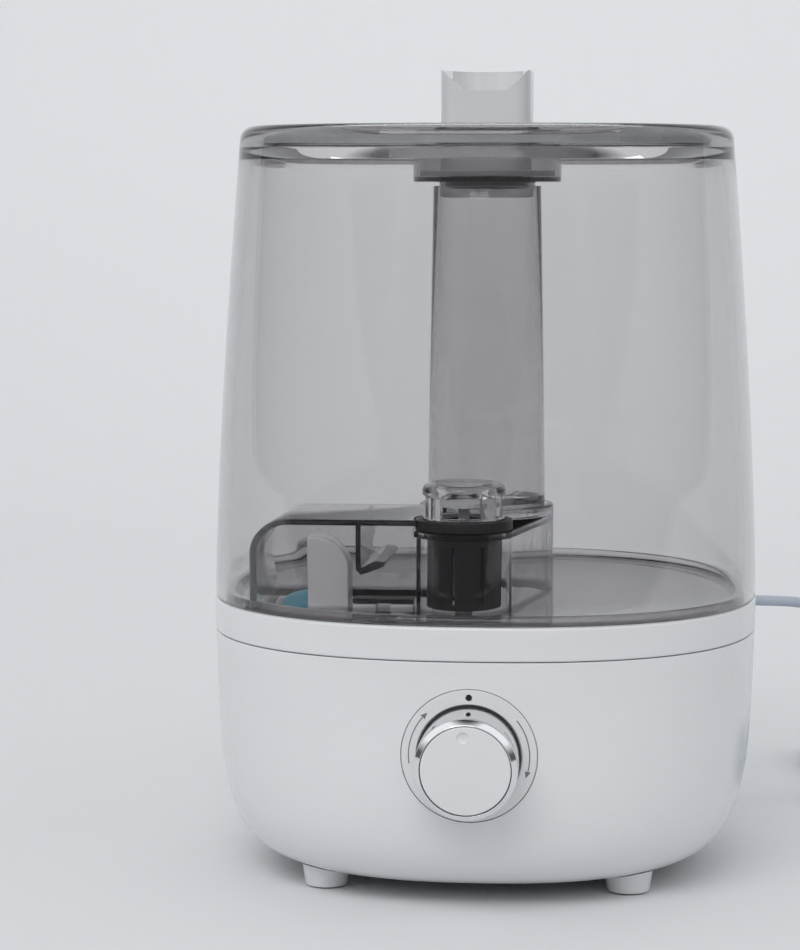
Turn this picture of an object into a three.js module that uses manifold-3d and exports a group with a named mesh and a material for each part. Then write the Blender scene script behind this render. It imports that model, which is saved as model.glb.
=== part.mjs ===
// Cool mist humidifier: a white base with fan, transducer and control knob, a smoked lift-off tank
// with a mist tube and a fill valve, a lift-out lid and a nozzle that turns.
// Millimetres, +Z up, the knob faces -Y. The feet stand on z = 0.

import * as THREE from "three";
import { mergeVertices } from "three/addons/utils/BufferGeometryUtils.js";
import Module from "manifold-3d";

const wasm = await Module();
wasm.setup();

// ---- Driving dimensions ----

const FIT_GAP = 0.3; // between pieces that touch
const SLIDE_GAP = 0.5; // between pieces that lift apart
const PLAN_POWER = 2.4; // superellipse power of the body's plan
const BODY_SEGMENTS = 32;
const ROUND_SEGMENTS = 24;
const KNOB_SEGMENTS = 28;
const HUB_SEGMENTS = 20;
const FOOT_SEGMENTS = 16;
const SMALL_SEGMENTS = 12;
const SCREW_SEGMENTS = 8;
const OVERCUT = 1; // how far a cutter passes the face that it opens
const DRILL = 12; // half of a cutter's length where it crosses a wall
const DRILL_TOP_Z = 32; // how high holes through the base's underside reach

const BODY_HALF = 97.5; // half of the greatest width
const BODY_INSET = 0.1; // bowl's top edge, inside the ring's band
const FOOT_HEIGHT = 5.5; // floor to the underside of the bowl
const PARTING_Z = 87.4; // top of the bowl
const BASE_TOP_Z = 99; // top of the base's ring
const BASE_WALL = 3;
const BOWL_UNDERSIDE_R = 60;
const BOWL_DRAFT = 1.9; // how far the side leans in before the corner
const BOWL_SIDE_REACH = 58.3; // how far down the side's tangent reaches
const BOWL_CORNER_PULL = 1.1; // the corner's fullness, from the bowl's half-width
const COVER_SEAT_R = 56;
const COVER_LEDGE_R = 50;
const COVER_THICKNESS = 1.7;
const LEDGE_THICKNESS = 2.5;
const SLOT_PITCH = 7; // of the air inlet's slots
const SLOT_WIDTH = 3;
const SLOT_REACH = 27;
const SLOT_ROWS = 3; // on either side of the middle one

const SCREW_SHANK_R = 1.5;
const SCREW_HEAD_R = 3;
const SCREW_POINT = 1;
const COVER_SCREW_SPAN = 39.7; // screw to centre, in X and in Y
const COVER_SCREW_TIP_Z = 14.5;
const COVER_BOSS_R = 4.5;
const COVER_BOSS_Z = 16;
const COVER_HEAD_STANDOUT = 0.4;
const COVER_HEAD_HEIGHT = 1;
const HOUSING_X = 64;
const HOUSING_Y = 24;
const HOUSING_BOSS_R = 6;
const HOUSING_BOSS_LOW_Z = 8;
const HOUSING_BOSS_Z = 13;
const HOUSING_POST_R = 4.5;
const HOUSING_HEAD_LOW_Z = 7.4;
const HOUSING_HEAD_Z = 9.2;
const HOUSING_SCREW_TIP_Z = 28;

const BOARD_Z = 40; // top of the posts
const BOARD_THICKNESS = 1.6;
const BOARD_HALF = 36;
const BOARD_SOUTH = 44;
const BOARD_NORTH = 72;
const BOARD_POST_R = 3;
const BOARD_POST_LOW_Z = 9;
const BOARD_POST_X = 30;
const BOARD_POST_SOUTH = 50;
const BOARD_POST_NORTH = 66;
const SINK_WEST = 6;
const SINK_EAST = 28;
const SINK_SOUTH = 49;
const SINK_NORTH = 67;
const SINK_BASE = 3;
const SINK_HEIGHT = 18;
const FINS = 5;
const FIN_WIDTH = 1.5;
const FIN_PITCH = 5;
const FIN_INSET = 0.5;
const TRANSFORMER_WEST = -30;
const TRANSFORMER_EAST = -4;
const TRANSFORMER_SOUTH = 48;
const TRANSFORMER_NORTH = 68;
const TRANSFORMER_HEIGHT = 20;

const DECK_THICKNESS = 2.4;
const DECK_DROP = 2.6; // ring top down to the deck
const BASIN_FLOOR_Z = 78;
const BASIN_WALL = 2.2;
const RING_RIM = 3.9; // width of the ring's top
const RING_CHAMFER = 0.8;
const WELL_OVERLAP = 0.5; // how far the basin's wall enters the deck
const WELL_EDGE_R = 1;
const LAP_LENGTH = 4.6;
const LAP_WALL = 2.4;

const DUCT_WEST = -58.5;
const DUCT_EAST = -44.5;
const DUCT_SOUTH = -54.5;
const DUCT_NORTH = -40.5;
const DUCT_TOP_Z = 123.6;
const DUCT_WALL = 2;
const DUCT_EDGE_R = 11;
const DUCT_WINDOW_DROP = 6;
const DUCT_WINDOW_HEIGHT = 10;
const STRIP_WEST = -43;
const STRIP_EAST = -22;
const STRIP_SOUTH = -54;
const STRIP_NORTH = -46;
const STRIP_Z = 100.9;
const STRIP_THICKNESS = 1.5;
const STRIP_BLOCK_WIDTH = 8;

const TRANSDUCER_R = 9.5;
const TRANSDUCER_THICKNESS = 1.2;
const SEAL_R = 13.7;
const SEAL_MOUTH_R = 7.5;
const SEAL_STANDOUT = 1; // above and below the basin's floor
const SEAL_LIP = 0.6; // basin floor down to the disc's seat
const CLAMP_R = 18;
const CLAMP_BORE_R = 8;
const CLAMP_THICKNESS = 1.6;

const FLOAT_X = -60.6;
const FLOAT_Y = -26;
const FLOAT_R = 12;
const FLOAT_LOW_Z = 89;
const FLOAT_SIDE = 6;
const FLOAT_DOME = 6.5;
const FLOAT_BORE_DEPTH = 9.5;
const FLOAT_POST_R = 2.5;
const FLOAT_POST_STEP = 3.5;
const FLOAT_POST_LENGTH = 8;

const TANK_HEIGHT = 167; // ring top to tank top
const TANK_WALL = 4;
const TANK_FOOT_CHAMFER = 0.5;
const TANK_FOOT_CHAMFER_RISE = 0.6;
const LIP_TAPER = 4; // height of the slope from the lid's seat to the wall
const TANK_TAPER = 9.4; // how much half-width is lost up to the shoulder
const TANK_TAPER_POWER = 1.45;
const SHOULDER_R = 5;
const TANK_FLOOR = 2.5;
const TANK_FLOOR_RIM = 3.2;
const TANK_RIM_WALL = 2.6;
const LIP_DEPTH = 8; // tank top to the bottom of the lid's seat
const LID_SEAT_STEP = 1.2;
const LID_SEAT_DEPTH = 3;
const TANK_LIP_WALL = 1; // flat width of the tank's top edge

const POCKET_ROOF_Z = 130.5;
const POCKET_WALL = 2.2;
const POCKET_WEST = -77;
const POCKET_SOUTH = -59.5;
const POCKET_NORTH = -8.5;
const POCKET_EDGE_R = 12;
const POCKET_LEAST_EDGE_R = 0.5;
const CHAMBER_MARGIN = 3.1; // from the mist tube's foot to the edge of the round chamber

const BAFFLE_WEST = -41.6;
const BAFFLE_THICKNESS = 1.8;
const BAFFLE_LOW_Z = 113;
const BAFFLE_OVERLAP = 0.5; // how far its ends enter the pocket's walls
const FLAP_REACH = 8.2; // how far the flap at the baffle's foot stands out
const FLAP_RISE = 1.2;
const FLAP_THICKNESS = 1.5;
const FLAP_SWELL = 0.4;
const FLAP_SWELL_SHARE = 0.6;
const FLAP_ROOT = 0.6;
const LUG_WEST = -31;
const LUG_EAST = -25;
const LUG_SOUTH = -82;
const LUG_NORTH = -80;
const LUG_HEIGHT = 1.5;

const MIST_TUBE_TOP_R = 19.5;
const MIST_TUBE_FLARE = 1.9; // how much wider the foot is than the top
const MIST_TUBE_WALL = 1.8;
const MIST_TUBE_SPIGOT = 3;
const MIST_TUBE_SPIGOT_INSET = 0.2; // from the tube's top radius
const MIST_TUBE_BORE_STEP = 3;
const MIST_TUBE_LEDGE = 0.5;
const TUBE_TO_LID = 1.7;

const VALVE_X = -4.7;
const VALVE_Y = -52;
const VALVE_FLANGE_WIDTH = 4; // how far the flange stands out of the barrel
const VALVE_FLANGE_HEIGHT = 3.5;
const VALVE_BARREL_R = 12.9;
const VALVE_BARREL_WALL = 2.4;
const VALVE_BARREL_FOOT = 0.9; // tank floor to the barrel
const VALVE_SEAT_R = 5.5;
const VALVE_SEAT_THICKNESS = 2;
const VALVE_SEAT_GAP = 0.6; // flange to the round seat in the pocket
const VALVE_SLOTS = 8;
const VALVE_SLOT_WIDTH = 1.3;
const VALVE_SLOT_LOW_Z = 102;
const VALVE_SLOT_TOP_Z = 122;
const VALVE_SLOT_TURN = 32; // degrees
const VALVE_CAP_MARGIN = 2.5; // from the cap to the flange's edge
const VALVE_CAP_HEIGHT = 12.4;
const VALVE_CAP_WALL = 1.8;
const VALVE_CAP_CROWN_R = 3;
const VALVE_WINDOWS = 4;
const VALVE_WINDOW_WIDTH = 13;
const VALVE_WINDOW_LOW = 0.8;
const VALVE_WINDOW_HIGH = 8.2;
const VALVE_TRAVEL = 4;
const PLUNGER_HEAD_R = 8;
const PLUNGER_HEAD = 1.5;
const PLUNGER_COLLAR = 14;
const PLUNGER_STEM_R = 2;
const PLUNGER_FOOT_R = 8.5;
const PUSH_PIN_R = 3;
const PUSH_PIN_FOOT_R = 8;
const PUSH_PIN_FOOT = 2;
const PUSH_PIN_CONE = 4;
const SPRING_WIRE_R = 0.5;
const SPRING_SLACK = 1.2; // stem to the spring's turns
const SPRING_TURNS = 4;
const SPRING_POINTS = 8; // in each turn

const LID_CUP_R = 25; // inside of the cup
const LID_CUP_WALL = 1.8;
const LID_CUP_DEPTH = 19.3;
const LID_PLATE = 2;
const LID_SKIRT_DEPTH = 9.7;
const LID_SKIRT_WALL = 3;
const SLEEVE_LENGTH = 6.2;
const SLEEVE_WALL = 1.8;
const CUP_OVERLAP = 0.9; // how far the lid's plate stops outside the cup's bore
const GROOVE_FROM_RIM = 2.6;
const GROOVE_HEIGHT = 2.8;
const GROOVE_DEPTH = 1.1;
const GASKET_STANDOUT = 0.2;
const LID_EDGE_CHAMFER = 0.5;

const NOZZLE_WIDTH = 32;
const NOZZLE_CORNER_R = 6;
const NOZZLE_RISE = 20; // above the tank's top
const NOZZLE_BORE_R = 12.5;
const NOZZLE_NOTCH_DEPTH = 7.4;
const NOZZLE_NOTCH_WIDTH = 16;
const NOZZLE_NOTCH_EDGE = 0.6; // left at the nozzle's corners
const NOZZLE_DISC = 2.5;
const NOZZLE_SPIGOT = 5.5;

const DIAL_Z = 55.5;
const DIAL_TILT = 4; // degrees that the dial faces down
const DIAL_BAND = 5.1; // width of the dial plate outside the knob
const DIAL_PLATE = 1;
const KNOB_R = 17.2;
const KNOB_LENGTH = 18.4;
const KNOB_RIM = 2.2; // from the face to the knob's side
const KNOB_BEVEL = 1.6;
const KNOB_WALL = 1.9;
const KNOB_LIP = 0.2;
const KNOB_FACE_DEPTH = 3.1;
const KNOB_FACE_CHAMFER = 0.5;
const KNOB_SEAT_WIDTH = 1.6;
const KNOB_SEAT_THICKNESS = 2;
const KNOB_SEAT_SLOPE = 1.2;
const KNOB_HUB_R = 6;
const KNOB_HUB_LOW = 3;
const KNOB_SOCKET_TOP = 14;
const DIMPLE_R = 2;
const DIMPLE_FLATNESS = 0.35;
const DIMPLE_X = -0.9;
const DIMPLE_Y = 11.3;
const KNOB_CLEARANCE = 0.5; // from the knob's side to the dial plate
const SHAFT_R = 3;
const SHAFT_TOP = 13.6;
const BUSH_WALL = 1.2;
const BUSH_TOP = 2.2;
const NUT_STANDOUT = 2.6;
const NUT_LOW = -1;
const NUT_TOP = 1.2;
const CAN_R = 9;
const CAN_DEPTH = 14;
const CAN_TO_WALL = 0.8;
const DIAL_GASKET_WIDTH = 2.4;
const DIAL_GASKET_LOW = -1;
const DIAL_GASKET_TOP = -0.3;
const LENS_R = 0.85;
const LENS_LOW = -1.2;
const LENS_TOP = -0.45;
const LENS_INSET = 2.4; // from the dial plate's inner edge

const FOOT_TOP_R = 9.15;
const FOOT_R = 7.4;
const FOOT_X = 53;
const FOOT_Y = 51;
const FOOT_PAD_R = 5.5;
const FOOT_PAD_THICKNESS = 1.7;
const FOOT_PAD_STANDOUT = 0.5;
const FOOT_CONE = 6; // how far the foot enters the bowl before it is trimmed
const SPIGOT_R = 3;
const SPIGOT_TOP_Z = 14;

const FAN_WIDTH = 60;
const FAN_DEPTH = 15;
const FAN_Z = 12;
const FAN_BORE_R = 28;
const FAN_HUB_R = 12.5;
const FAN_SHAFT_R = 1.5;
const FAN_BLADES = 7;
const FAN_BLADE_THICKNESS = 1.1;
const FAN_BLADE_CHORD = 11;
const FAN_BLADE_PITCH = 48; // degrees
const FAN_TIP_GAP = 0.8;
const FAN_HUB_WALL = 1.6;
const FAN_HUB_RISE = 4;
const FAN_HUB_DROP = 1;
const FAN_CORNER_R = 4;
const FAN_PLATE = 2;
const FAN_ARMS = 3;
const FAN_ARM_WIDTH = 3;
const FAN_ARM_ENTRY = 2;
const FAN_MOTOR_DROP = 3.5;
const FAN_MOTOR_MARGIN = 3;
const FAN_POST = 25; // post to centre, in X and in Y
const FAN_POST_R = 3.5;
const FILTER_MARGIN = 4; // how far the filter passes the posts
const FILTER_THICKNESS = 2.5;

const CORD_D = 4.4;
const CORD_EXIT_Z = 78;
const CORD_EXIT_ANGLE = 60; // degrees round the body from +X
const RELIEF_LENGTH = 30;
const RELIEF_NECK_R = 3.4;
const RELIEF_NECK_LENGTH = 7;
const RELIEF_COLLAR_R = 5.6;
const RELIEF_COLLAR_STANDOUT = 0.5;
const RELIEF_COLLAR = 2;
const RELIEF_SHOULDER = 2.6;
const RELIEF_ROOT_R = 4.4;
const RELIEF_WALL = 0.7; // round the cord at its end
const COIL_R = 24; // middle of the turns
const COIL_LAYERS = 3;
const COIL_X = 163;
const COIL_Y = 114;
const CLIP_WALL = 1.2;
const CLIP_SLACK = 0.5;
const CLIP_HALF = 3;
const CLIP_TURN = -50; // degrees

const PLUG_X = 136;
const PLUG_BACK_Y = 154.3;
const PLUG_LENGTH = 34;
const PLUG_HALF_WIDTH = 12;
const PLUG_THICKNESS = 15;
const PLUG_NECK = 10;
const PLUG_NECK_WALL = 1.6;
const PLUG_NECK_FLARE = 1;
const PLUG_SHOULDER = 8;
const BLADE_SPACING = 12.7;
const BLADE_LENGTH = 17;
const BLADE_WIDTH = 6.4;
const BLADE_THICKNESS = 1.5;

// ---- Materials ----

function material(color, roughness, metalness = 0, opacity = 1) {
  const transparent = opacity < 1;
  return new THREE.MeshStandardMaterial({ color, roughness, metalness, opacity, transparent });
}

const WHITE = material(0xdadddd, 0.25);
const SMOKE = material(0x8a888b, 0.08, 0, 0.45);
const CLEAR = material(0xb8bcbf, 0.08, 0, 0.4);
const BLACK = material(0x0b0b0c, 0.45);
const RUBBER = material(0x232325, 0.8);
const CHROME = material(0xd5d7d8, 0.12, 1);
const METAL = material(0x9c9c98, 0.35, 1);
const ALUMINIUM = material(0xb4b6b8, 0.4, 1);
const BRASS = material(0xc0a060, 0.3, 1);
const TEAL = material(0x1c7684, 0.4);
const BOARD = material(0x1e5c38, 0.5);
const FOAM = material(0x3c3f42, 0.95);
const SILICONE = material(0xb9bdc0, 0.5);
const CORD = material(0xb8c0cd, 0.45);

// ---- Solids from three.js geometry ----

// A geometry as a manifold solid: shared vertices merged, faces turned outwards.
function toSolid(geometry) {
  const bare = geometry.clone();
  bare.deleteAttribute("normal");
  bare.deleteAttribute("uv");
  const merged = mergeVertices(bare, 1e-4);
  const index = merged.index.array;
  const triVerts = [];
  for (let i = 0; i < index.length; i += 3) {
    const [a, b, c] = index.slice(i, i + 3);
    if (a !== b && b !== c && a !== c) triVerts.push(a, b, c);
  }
  const vertProperties = new Float32Array(merged.attributes.position.array);
  const build = (triangles) =>
    new wasm.Manifold(
      new wasm.Mesh({ numProp: 3, vertProperties, triVerts: new Uint32Array(triangles) }),
    );
  const made = build(triVerts);
  return made.volume() > 0 ? made : build(triVerts.reverse());
}

function toGeometry(solid) {
  const mesh = solid.getMesh();
  const geometry = new THREE.BufferGeometry();
  geometry.setAttribute("position", new THREE.BufferAttribute(mesh.vertProperties, 3));
  geometry.setIndex(new THREE.BufferAttribute(mesh.triVerts, 1));
  geometry.computeVertexNormals();
  return geometry;
}

function combine(operation, first, others) {
  return toGeometry(others.reduce((sum, next) => sum[operation](toSolid(next)), toSolid(first)));
}

const join = (first, ...others) => combine("add", first, others);
const cut = (first, ...others) => combine("subtract", first, others);
const common = (first, ...others) => combine("intersect", first, others);

// A profile of [radius, z] pairs turned about +Z. It starts and ends on the axis, or is closed here.
function lathe(profile, segments = ROUND_SEGMENTS) {
  const onAxis = profile[0][0] === 0;
  const points = onAxis ? profile : [...profile, profile[0]];
  const vectors = points.map(([radius, z]) => new THREE.Vector2(radius, z));
  const turned = new THREE.LatheGeometry(vectors, segments).rotateX(Math.PI / 2);
  return toGeometry(toSolid(turned));
}

// How far the superellipse plan stands out, as a share of its half-width, at an angle.
function planReach(angle) {
  const sum = Math.abs(Math.cos(angle)) ** PLAN_POWER + Math.abs(Math.sin(angle)) ** PLAN_POWER;
  return sum ** (-1 / PLAN_POWER);
}

// The same as a lathe, but with the body's rounded-square plan.
function bodyLathe(profile) {
  const turned = lathe(profile, BODY_SEGMENTS);
  const position = turned.attributes.position;
  for (let i = 0; i < position.count; i += 1) {
    const x = position.getX(i);
    const y = position.getY(i);
    const reach = planReach(Math.atan2(y, x));
    position.setXY(i, x * reach, y * reach);
  }
  return turned;
}

function cylinder(radius, low, high, x = 0, y = 0, segments = ROUND_SEGMENTS) {
  return lathe([[0, low], [radius, low], [radius, high], [0, high]], segments).translate(x, y, 0);
}

function ring(inner, outer, low, high, x = 0, y = 0, segments = ROUND_SEGMENTS) {
  const profile = [[inner, low], [outer, low], [outer, high], [inner, high]];
  return lathe(profile, segments).translate(x, y, 0);
}

function box(x0, x1, y0, y1, z0, z1) {
  const shape = new THREE.BoxGeometry(x1 - x0, y1 - y0, z1 - z0);
  return shape.translate((x0 + x1) / 2, (y0 + y1) / 2, (z0 + z1) / 2);
}

function prism(shape, low, high, curveSegments = 3) {
  const settings = { depth: high - low, bevelEnabled: false, curveSegments };
  return new THREE.ExtrudeGeometry(shape, settings).translate(0, 0, low);
}

// An outline in X and Z, extruded along Y.
function slab(shape, south, north, curveSegments = 3) {
  const depth = north - south;
  const settings = { depth, bevelEnabled: false, curveSegments };
  return new THREE.ExtrudeGeometry(shape, settings).rotateX(Math.PI / 2).translate(0, north, 0);
}

function polygon(points) {
  return new THREE.Shape(points.map(([x, y]) => new THREE.Vector2(x, y)));
}

function roundedSquare(half, corner) {
  const shape = new THREE.Shape();
  const flat = half - corner;
  shape.absarc(flat, flat, corner, 0, Math.PI / 2);
  shape.absarc(-flat, flat, corner, Math.PI / 2, Math.PI);
  shape.absarc(-flat, -flat, corner, Math.PI, 1.5 * Math.PI);
  shape.absarc(flat, -flat, corner, 1.5 * Math.PI, 2 * Math.PI);
  return shape;
}

function addMesh(group, name, geometry, finish) {
  const mesh = new THREE.Mesh(geometry, finish);
  mesh.name = name;
  group.add(mesh);
  return mesh;
}

// The four corners of a rectangle pattern, numbered from 1.
function eachCorner(x, y, action) {
  const corners = [[-x, -y], [x, -y], [x, y], [-x, y]];
  corners.forEach(([cornerX, cornerY], index) => action(cornerX, cornerY, index + 1));
}

// ---- Levels and radii that several pieces share ----

const BOWL_HALF = BODY_HALF - BODY_INSET;
const BAND_LOW_Z = PARTING_Z + FIT_GAP;
const DECK_TOP_Z = BASE_TOP_Z - DECK_DROP;
const DECK_LOW_Z = DECK_TOP_Z - DECK_THICKNESS;
const BASIN_INSIDE_Z = BASIN_FLOOR_Z + DECK_THICKNESS;
const RING_INSIDE_R = BODY_HALF - RING_RIM;
const SCREW_HOLE_R = SCREW_SHANK_R + FIT_GAP;
const BOARD_PART_Z = BOARD_Z + BOARD_THICKNESS + 3 * FIT_GAP;
const BUSH_R = SHAFT_R + FIT_GAP + BUSH_WALL;

const TANK_LOW_Z = BASE_TOP_Z + FIT_GAP;
const TANK_TOP_Z = BASE_TOP_Z + TANK_HEIGHT;
const SHOULDER_Z = TANK_TOP_Z - SHOULDER_R;
const TANK_INSIDE_R = BODY_HALF - BODY_INSET - TANK_WALL;
const TANK_FLOOR_R = TANK_INSIDE_R - FIT_GAP;
const TANK_FLOOR_LOW_Z = DECK_TOP_Z + SLIDE_GAP;
const TANK_FLOOR_Z = TANK_FLOOR_LOW_Z + TANK_FLOOR;

const TANK_MOUTH_R = BODY_HALF - BODY_INSET - TANK_TAPER - SHOULDER_R - TANK_LIP_WALL;
const LID_SEAT_Z = TANK_TOP_Z - LID_SEAT_DEPTH;
const LID_SEAT_R = TANK_MOUTH_R - LID_SEAT_STEP;
const LID_SKIRT_R = LID_SEAT_R - SLIDE_GAP;
const LID_SKIRT_LOW_Z = TANK_TOP_Z - LID_SKIRT_DEPTH;
const CUP_LOW_Z = TANK_TOP_Z - LID_CUP_DEPTH;
const MIST_TUBE_TOP_Z = CUP_LOW_Z - TUBE_TO_LID;
const MIST_TUBE_BORE_R = MIST_TUBE_TOP_R - MIST_TUBE_WALL;
const SLEEVE_R = MIST_TUBE_BORE_R - FIT_GAP;
const SLEEVE_BORE_R = SLEEVE_R - SLEEVE_WALL;

const MIST_TUBE_SPIGOT_R = MIST_TUBE_TOP_R - MIST_TUBE_SPIGOT_INSET;
const MIST_TUBE_FOOT_R = MIST_TUBE_TOP_R + MIST_TUBE_FLARE;
const CHAMBER_R = MIST_TUBE_FOOT_R + CHAMBER_MARGIN;

const KNOB_FACE_R = KNOB_R - KNOB_RIM;
const DIAL_INSIDE_R = KNOB_R + KNOB_CLEARANCE;
const DIAL_R = DIAL_INSIDE_R + DIAL_BAND;
const LENS_FROM_CENTRE = DIAL_INSIDE_R + LENS_INSET;

const VALVE_ROOF_Z = POCKET_ROOF_Z - VALVE_FLANGE_HEIGHT - FIT_GAP;
const VALVE_BARREL_LOW_Z = TANK_FLOOR_Z + VALVE_BARREL_FOOT;
const VALVE_FLANGE_R = VALVE_BARREL_R + VALVE_FLANGE_WIDTH;
const VALVE_CAP_R = VALVE_FLANGE_R - VALVE_CAP_MARGIN;
const VALVE_POCKET_R = VALVE_FLANGE_R + VALVE_SEAT_GAP;
const PUSH_PIN_TOP_Z = VALVE_BARREL_LOW_Z + VALVE_TRAVEL;
const PLUNGER_LOW_Z = PUSH_PIN_TOP_Z + FIT_GAP;
const HEAD_REST_Z = POCKET_ROOF_Z + FIT_GAP + VALVE_TRAVEL;

// ---- The body's outlines ----

// Points down the bowl's side from its top edge to the flat underside, moved in by an inset.
function bowlCurve(inset, steps = 8) {
  const curve = new THREE.CubicBezierCurve(
    new THREE.Vector2(BOWL_HALF - inset, PARTING_Z),
    new THREE.Vector2(BOWL_HALF - BOWL_DRAFT - inset, PARTING_Z - BOWL_SIDE_REACH),
    new THREE.Vector2(BOWL_HALF - BOWL_CORNER_PULL - inset, FOOT_HEIGHT + inset),
    new THREE.Vector2(BOWL_UNDERSIDE_R, FOOT_HEIGHT + inset),
  );
  return curve.getPoints(steps).map((point) => [point.x, point.y]);
}

// The tank's outer half-width at a height.
function tankHalf(z) {
  const share = Math.max(0, (z - BASE_TOP_Z) / (SHOULDER_Z - BASE_TOP_Z));
  return BODY_HALF - BODY_INSET - TANK_TAPER * share ** TANK_TAPER_POWER;
}

function tankSide(inset, low, high, steps) {
  const points = [];
  for (let i = 0; i <= steps; i += 1) {
    const z = low + ((high - low) * i) / steps;
    points.push([tankHalf(z) - inset, z]);
  }
  return points;
}

// A solid that fills the bowl, for cutting pieces to its outer or inner face.
function bowlFill(inset) {
  const curve = bowlCurve(inset);
  const [, lowZ] = curve[curve.length - 1];
  return bodyLathe([[0, PARTING_Z], ...curve, [0, lowZ]]);
}

// ---- The pocket's plan, shared by the tank's floor and the base's basin ----

function pocketBox(inset, low, roof, edgeRadius) {
  const west = POCKET_WEST + inset;
  const edge = Math.max(edgeRadius - inset, POCKET_LEAST_EDGE_R);
  const shape = new THREE.Shape();
  shape.moveTo(west, low);
  shape.lineTo(0, low);
  shape.lineTo(0, roof);
  shape.lineTo(west + edge, roof);
  shape.absarc(west + edge, roof - edge, edge, Math.PI / 2, Math.PI);
  return slab(shape, POCKET_SOUTH + inset, POCKET_NORTH - inset);
}

// The stretch between the round chamber and the round valve seat.
function pocketNeck(inset, low, high) {
  const chamber = CHAMBER_R - inset;
  const seat = VALVE_POCKET_R - inset;
  const distance = Math.hypot(VALVE_X, VALVE_Y);
  const heading = Math.atan2(VALVE_Y, VALVE_X);
  const spread = Math.acos((chamber - seat) / distance);
  const shape = new THREE.Shape();
  shape.absarc(0, 0, chamber, heading + spread, heading - spread + 2 * Math.PI);
  shape.absarc(VALVE_X, VALVE_Y, seat, heading - spread, heading + spread);
  return prism(shape, low, high, 7);
}

function pocketFill(inset, low, drop = 0, edgeRadius = POCKET_EDGE_R) {
  const roof = POCKET_ROOF_Z - inset - drop;
  return [
    pocketBox(inset, low, roof, edgeRadius),
    cylinder(CHAMBER_R - inset, low, roof),
    pocketNeck(inset, low, roof),
  ];
}

// ---- Base ----

// The dial's own frame: +Z out of the wall along the shaft, +Y up the wall.
const dialFrame = new THREE.Group();
dialFrame.position.set(0, -dialWallHalf(), DIAL_Z);
dialFrame.rotation.x = Math.PI / 2 + THREE.MathUtils.degToRad(DIAL_TILT);
dialFrame.updateMatrix();

// Half-width of the bowl at the dial's height.
function dialWallHalf() {
  const curve = bowlCurve(0, 60);
  const above = curve.findIndex(([, z]) => z < DIAL_Z);
  return curve[above][0];
}

const inDial = (geometry) => geometry.applyMatrix4(dialFrame.matrix);

// The cord's exit: where it leaves the wall, and the wall's outward direction there.
const exitAngle = THREE.MathUtils.degToRad(CORD_EXIT_ANGLE);
const exitDirection = new THREE.Vector3(
  Math.cos(exitAngle) ** (PLAN_POWER - 1),
  Math.sin(exitAngle) ** (PLAN_POWER - 1),
  0,
).normalize();
const exitReach = BOWL_HALF * planReach(exitAngle);
const exitPoint = new THREE.Vector3(
  exitReach * Math.cos(exitAngle),
  exitReach * Math.sin(exitAngle),
  CORD_EXIT_Z,
);

// Turns a geometry made along +Z to point out of the cord's exit.
function atExit(geometry) {
  const turn = new THREE.Quaternion().setFromUnitVectors(new THREE.Vector3(0, 0, 1), exitDirection);
  return geometry.applyQuaternion(turn).translate(exitPoint.x, exitPoint.y, exitPoint.z);
}

function baseBowl() {
  const seatZ = FOOT_HEIGHT + COVER_THICKNESS + FIT_GAP;
  const ledgeZ = seatZ + LEDGE_THICKNESS;
  const profile = [
    [COVER_SEAT_R, FOOT_HEIGHT],
    ...bowlCurve(0).reverse(),
    ...bowlCurve(BASE_WALL),
    [BOWL_UNDERSIDE_R, ledgeZ],
    [COVER_LEDGE_R, ledgeZ],
    [COVER_LEDGE_R, seatZ],
    [COVER_SEAT_R, seatZ],
  ];
  const bosses = [];
  const holes = [];
  eachCorner(COVER_SCREW_SPAN, COVER_SCREW_SPAN, (x, y) => {
    bosses.push(cylinder(COVER_BOSS_R, seatZ, COVER_BOSS_Z, x, y, SMALL_SEGMENTS));
    holes.push(cylinder(SCREW_HOLE_R, 0, DRILL_TOP_Z, x, y, SMALL_SEGMENTS));
  });
  eachCorner(HOUSING_X, HOUSING_Y, (x, y) => {
    bosses.push(cylinder(HOUSING_BOSS_R, HOUSING_BOSS_LOW_Z, HOUSING_BOSS_Z, x, y, SMALL_SEGMENTS));
    holes.push(cylinder(SCREW_HOLE_R, 0, DRILL_TOP_Z, x, y, SMALL_SEGMENTS));
    holes.push(
      cylinder(SCREW_HEAD_R + FIT_GAP, 0, HOUSING_HEAD_Z + FIT_GAP, x, y, SMALL_SEGMENTS),
    );
  });
  eachCorner(FOOT_X, FOOT_Y, (x, y) => {
    holes.push(cylinder(SPIGOT_R + FIT_GAP, 0, DRILL_TOP_Z, x, y, SMALL_SEGMENTS));
  });
  for (const x of [-BOARD_POST_X, BOARD_POST_X]) {
    for (const y of [BOARD_POST_SOUTH, BOARD_POST_NORTH]) {
      bosses.push(cylinder(BOARD_POST_R, BOARD_POST_LOW_Z, BOARD_Z, x, y, SMALL_SEGMENTS));
    }
  }
  const dialBand = cut(bowlFill(-OVERCUT), bowlFill(DIAL_PLATE + FIT_GAP));
  const recess = common(dialBand, inDial(cylinder(DIAL_R + FIT_GAP, -DRILL, DRILL)));
  holes.push(recess);
  holes.push(inDial(cylinder(BUSH_R + FIT_GAP, -DRILL, DRILL, 0, 0, SMALL_SEGMENTS)));
  holes.push(atExit(cylinder(RELIEF_NECK_R + FIT_GAP, -DRILL, DRILL, 0, 0, SMALL_SEGMENTS)));
  return cut(join(bodyLathe(profile), ...bosses), ...holes);
}

function ductOutline(inset, low, top, cornerRadius) {
  const shape = new THREE.Shape();
  const west = DUCT_WEST + inset;
  const east = DUCT_EAST - inset;
  shape.moveTo(west, low);
  shape.lineTo(east, low);
  shape.lineTo(east, top - cornerRadius);
  shape.absarc(east - cornerRadius, top - cornerRadius, cornerRadius, 0, Math.PI / 2);
  shape.lineTo(west, top);
  return shape;
}

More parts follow.
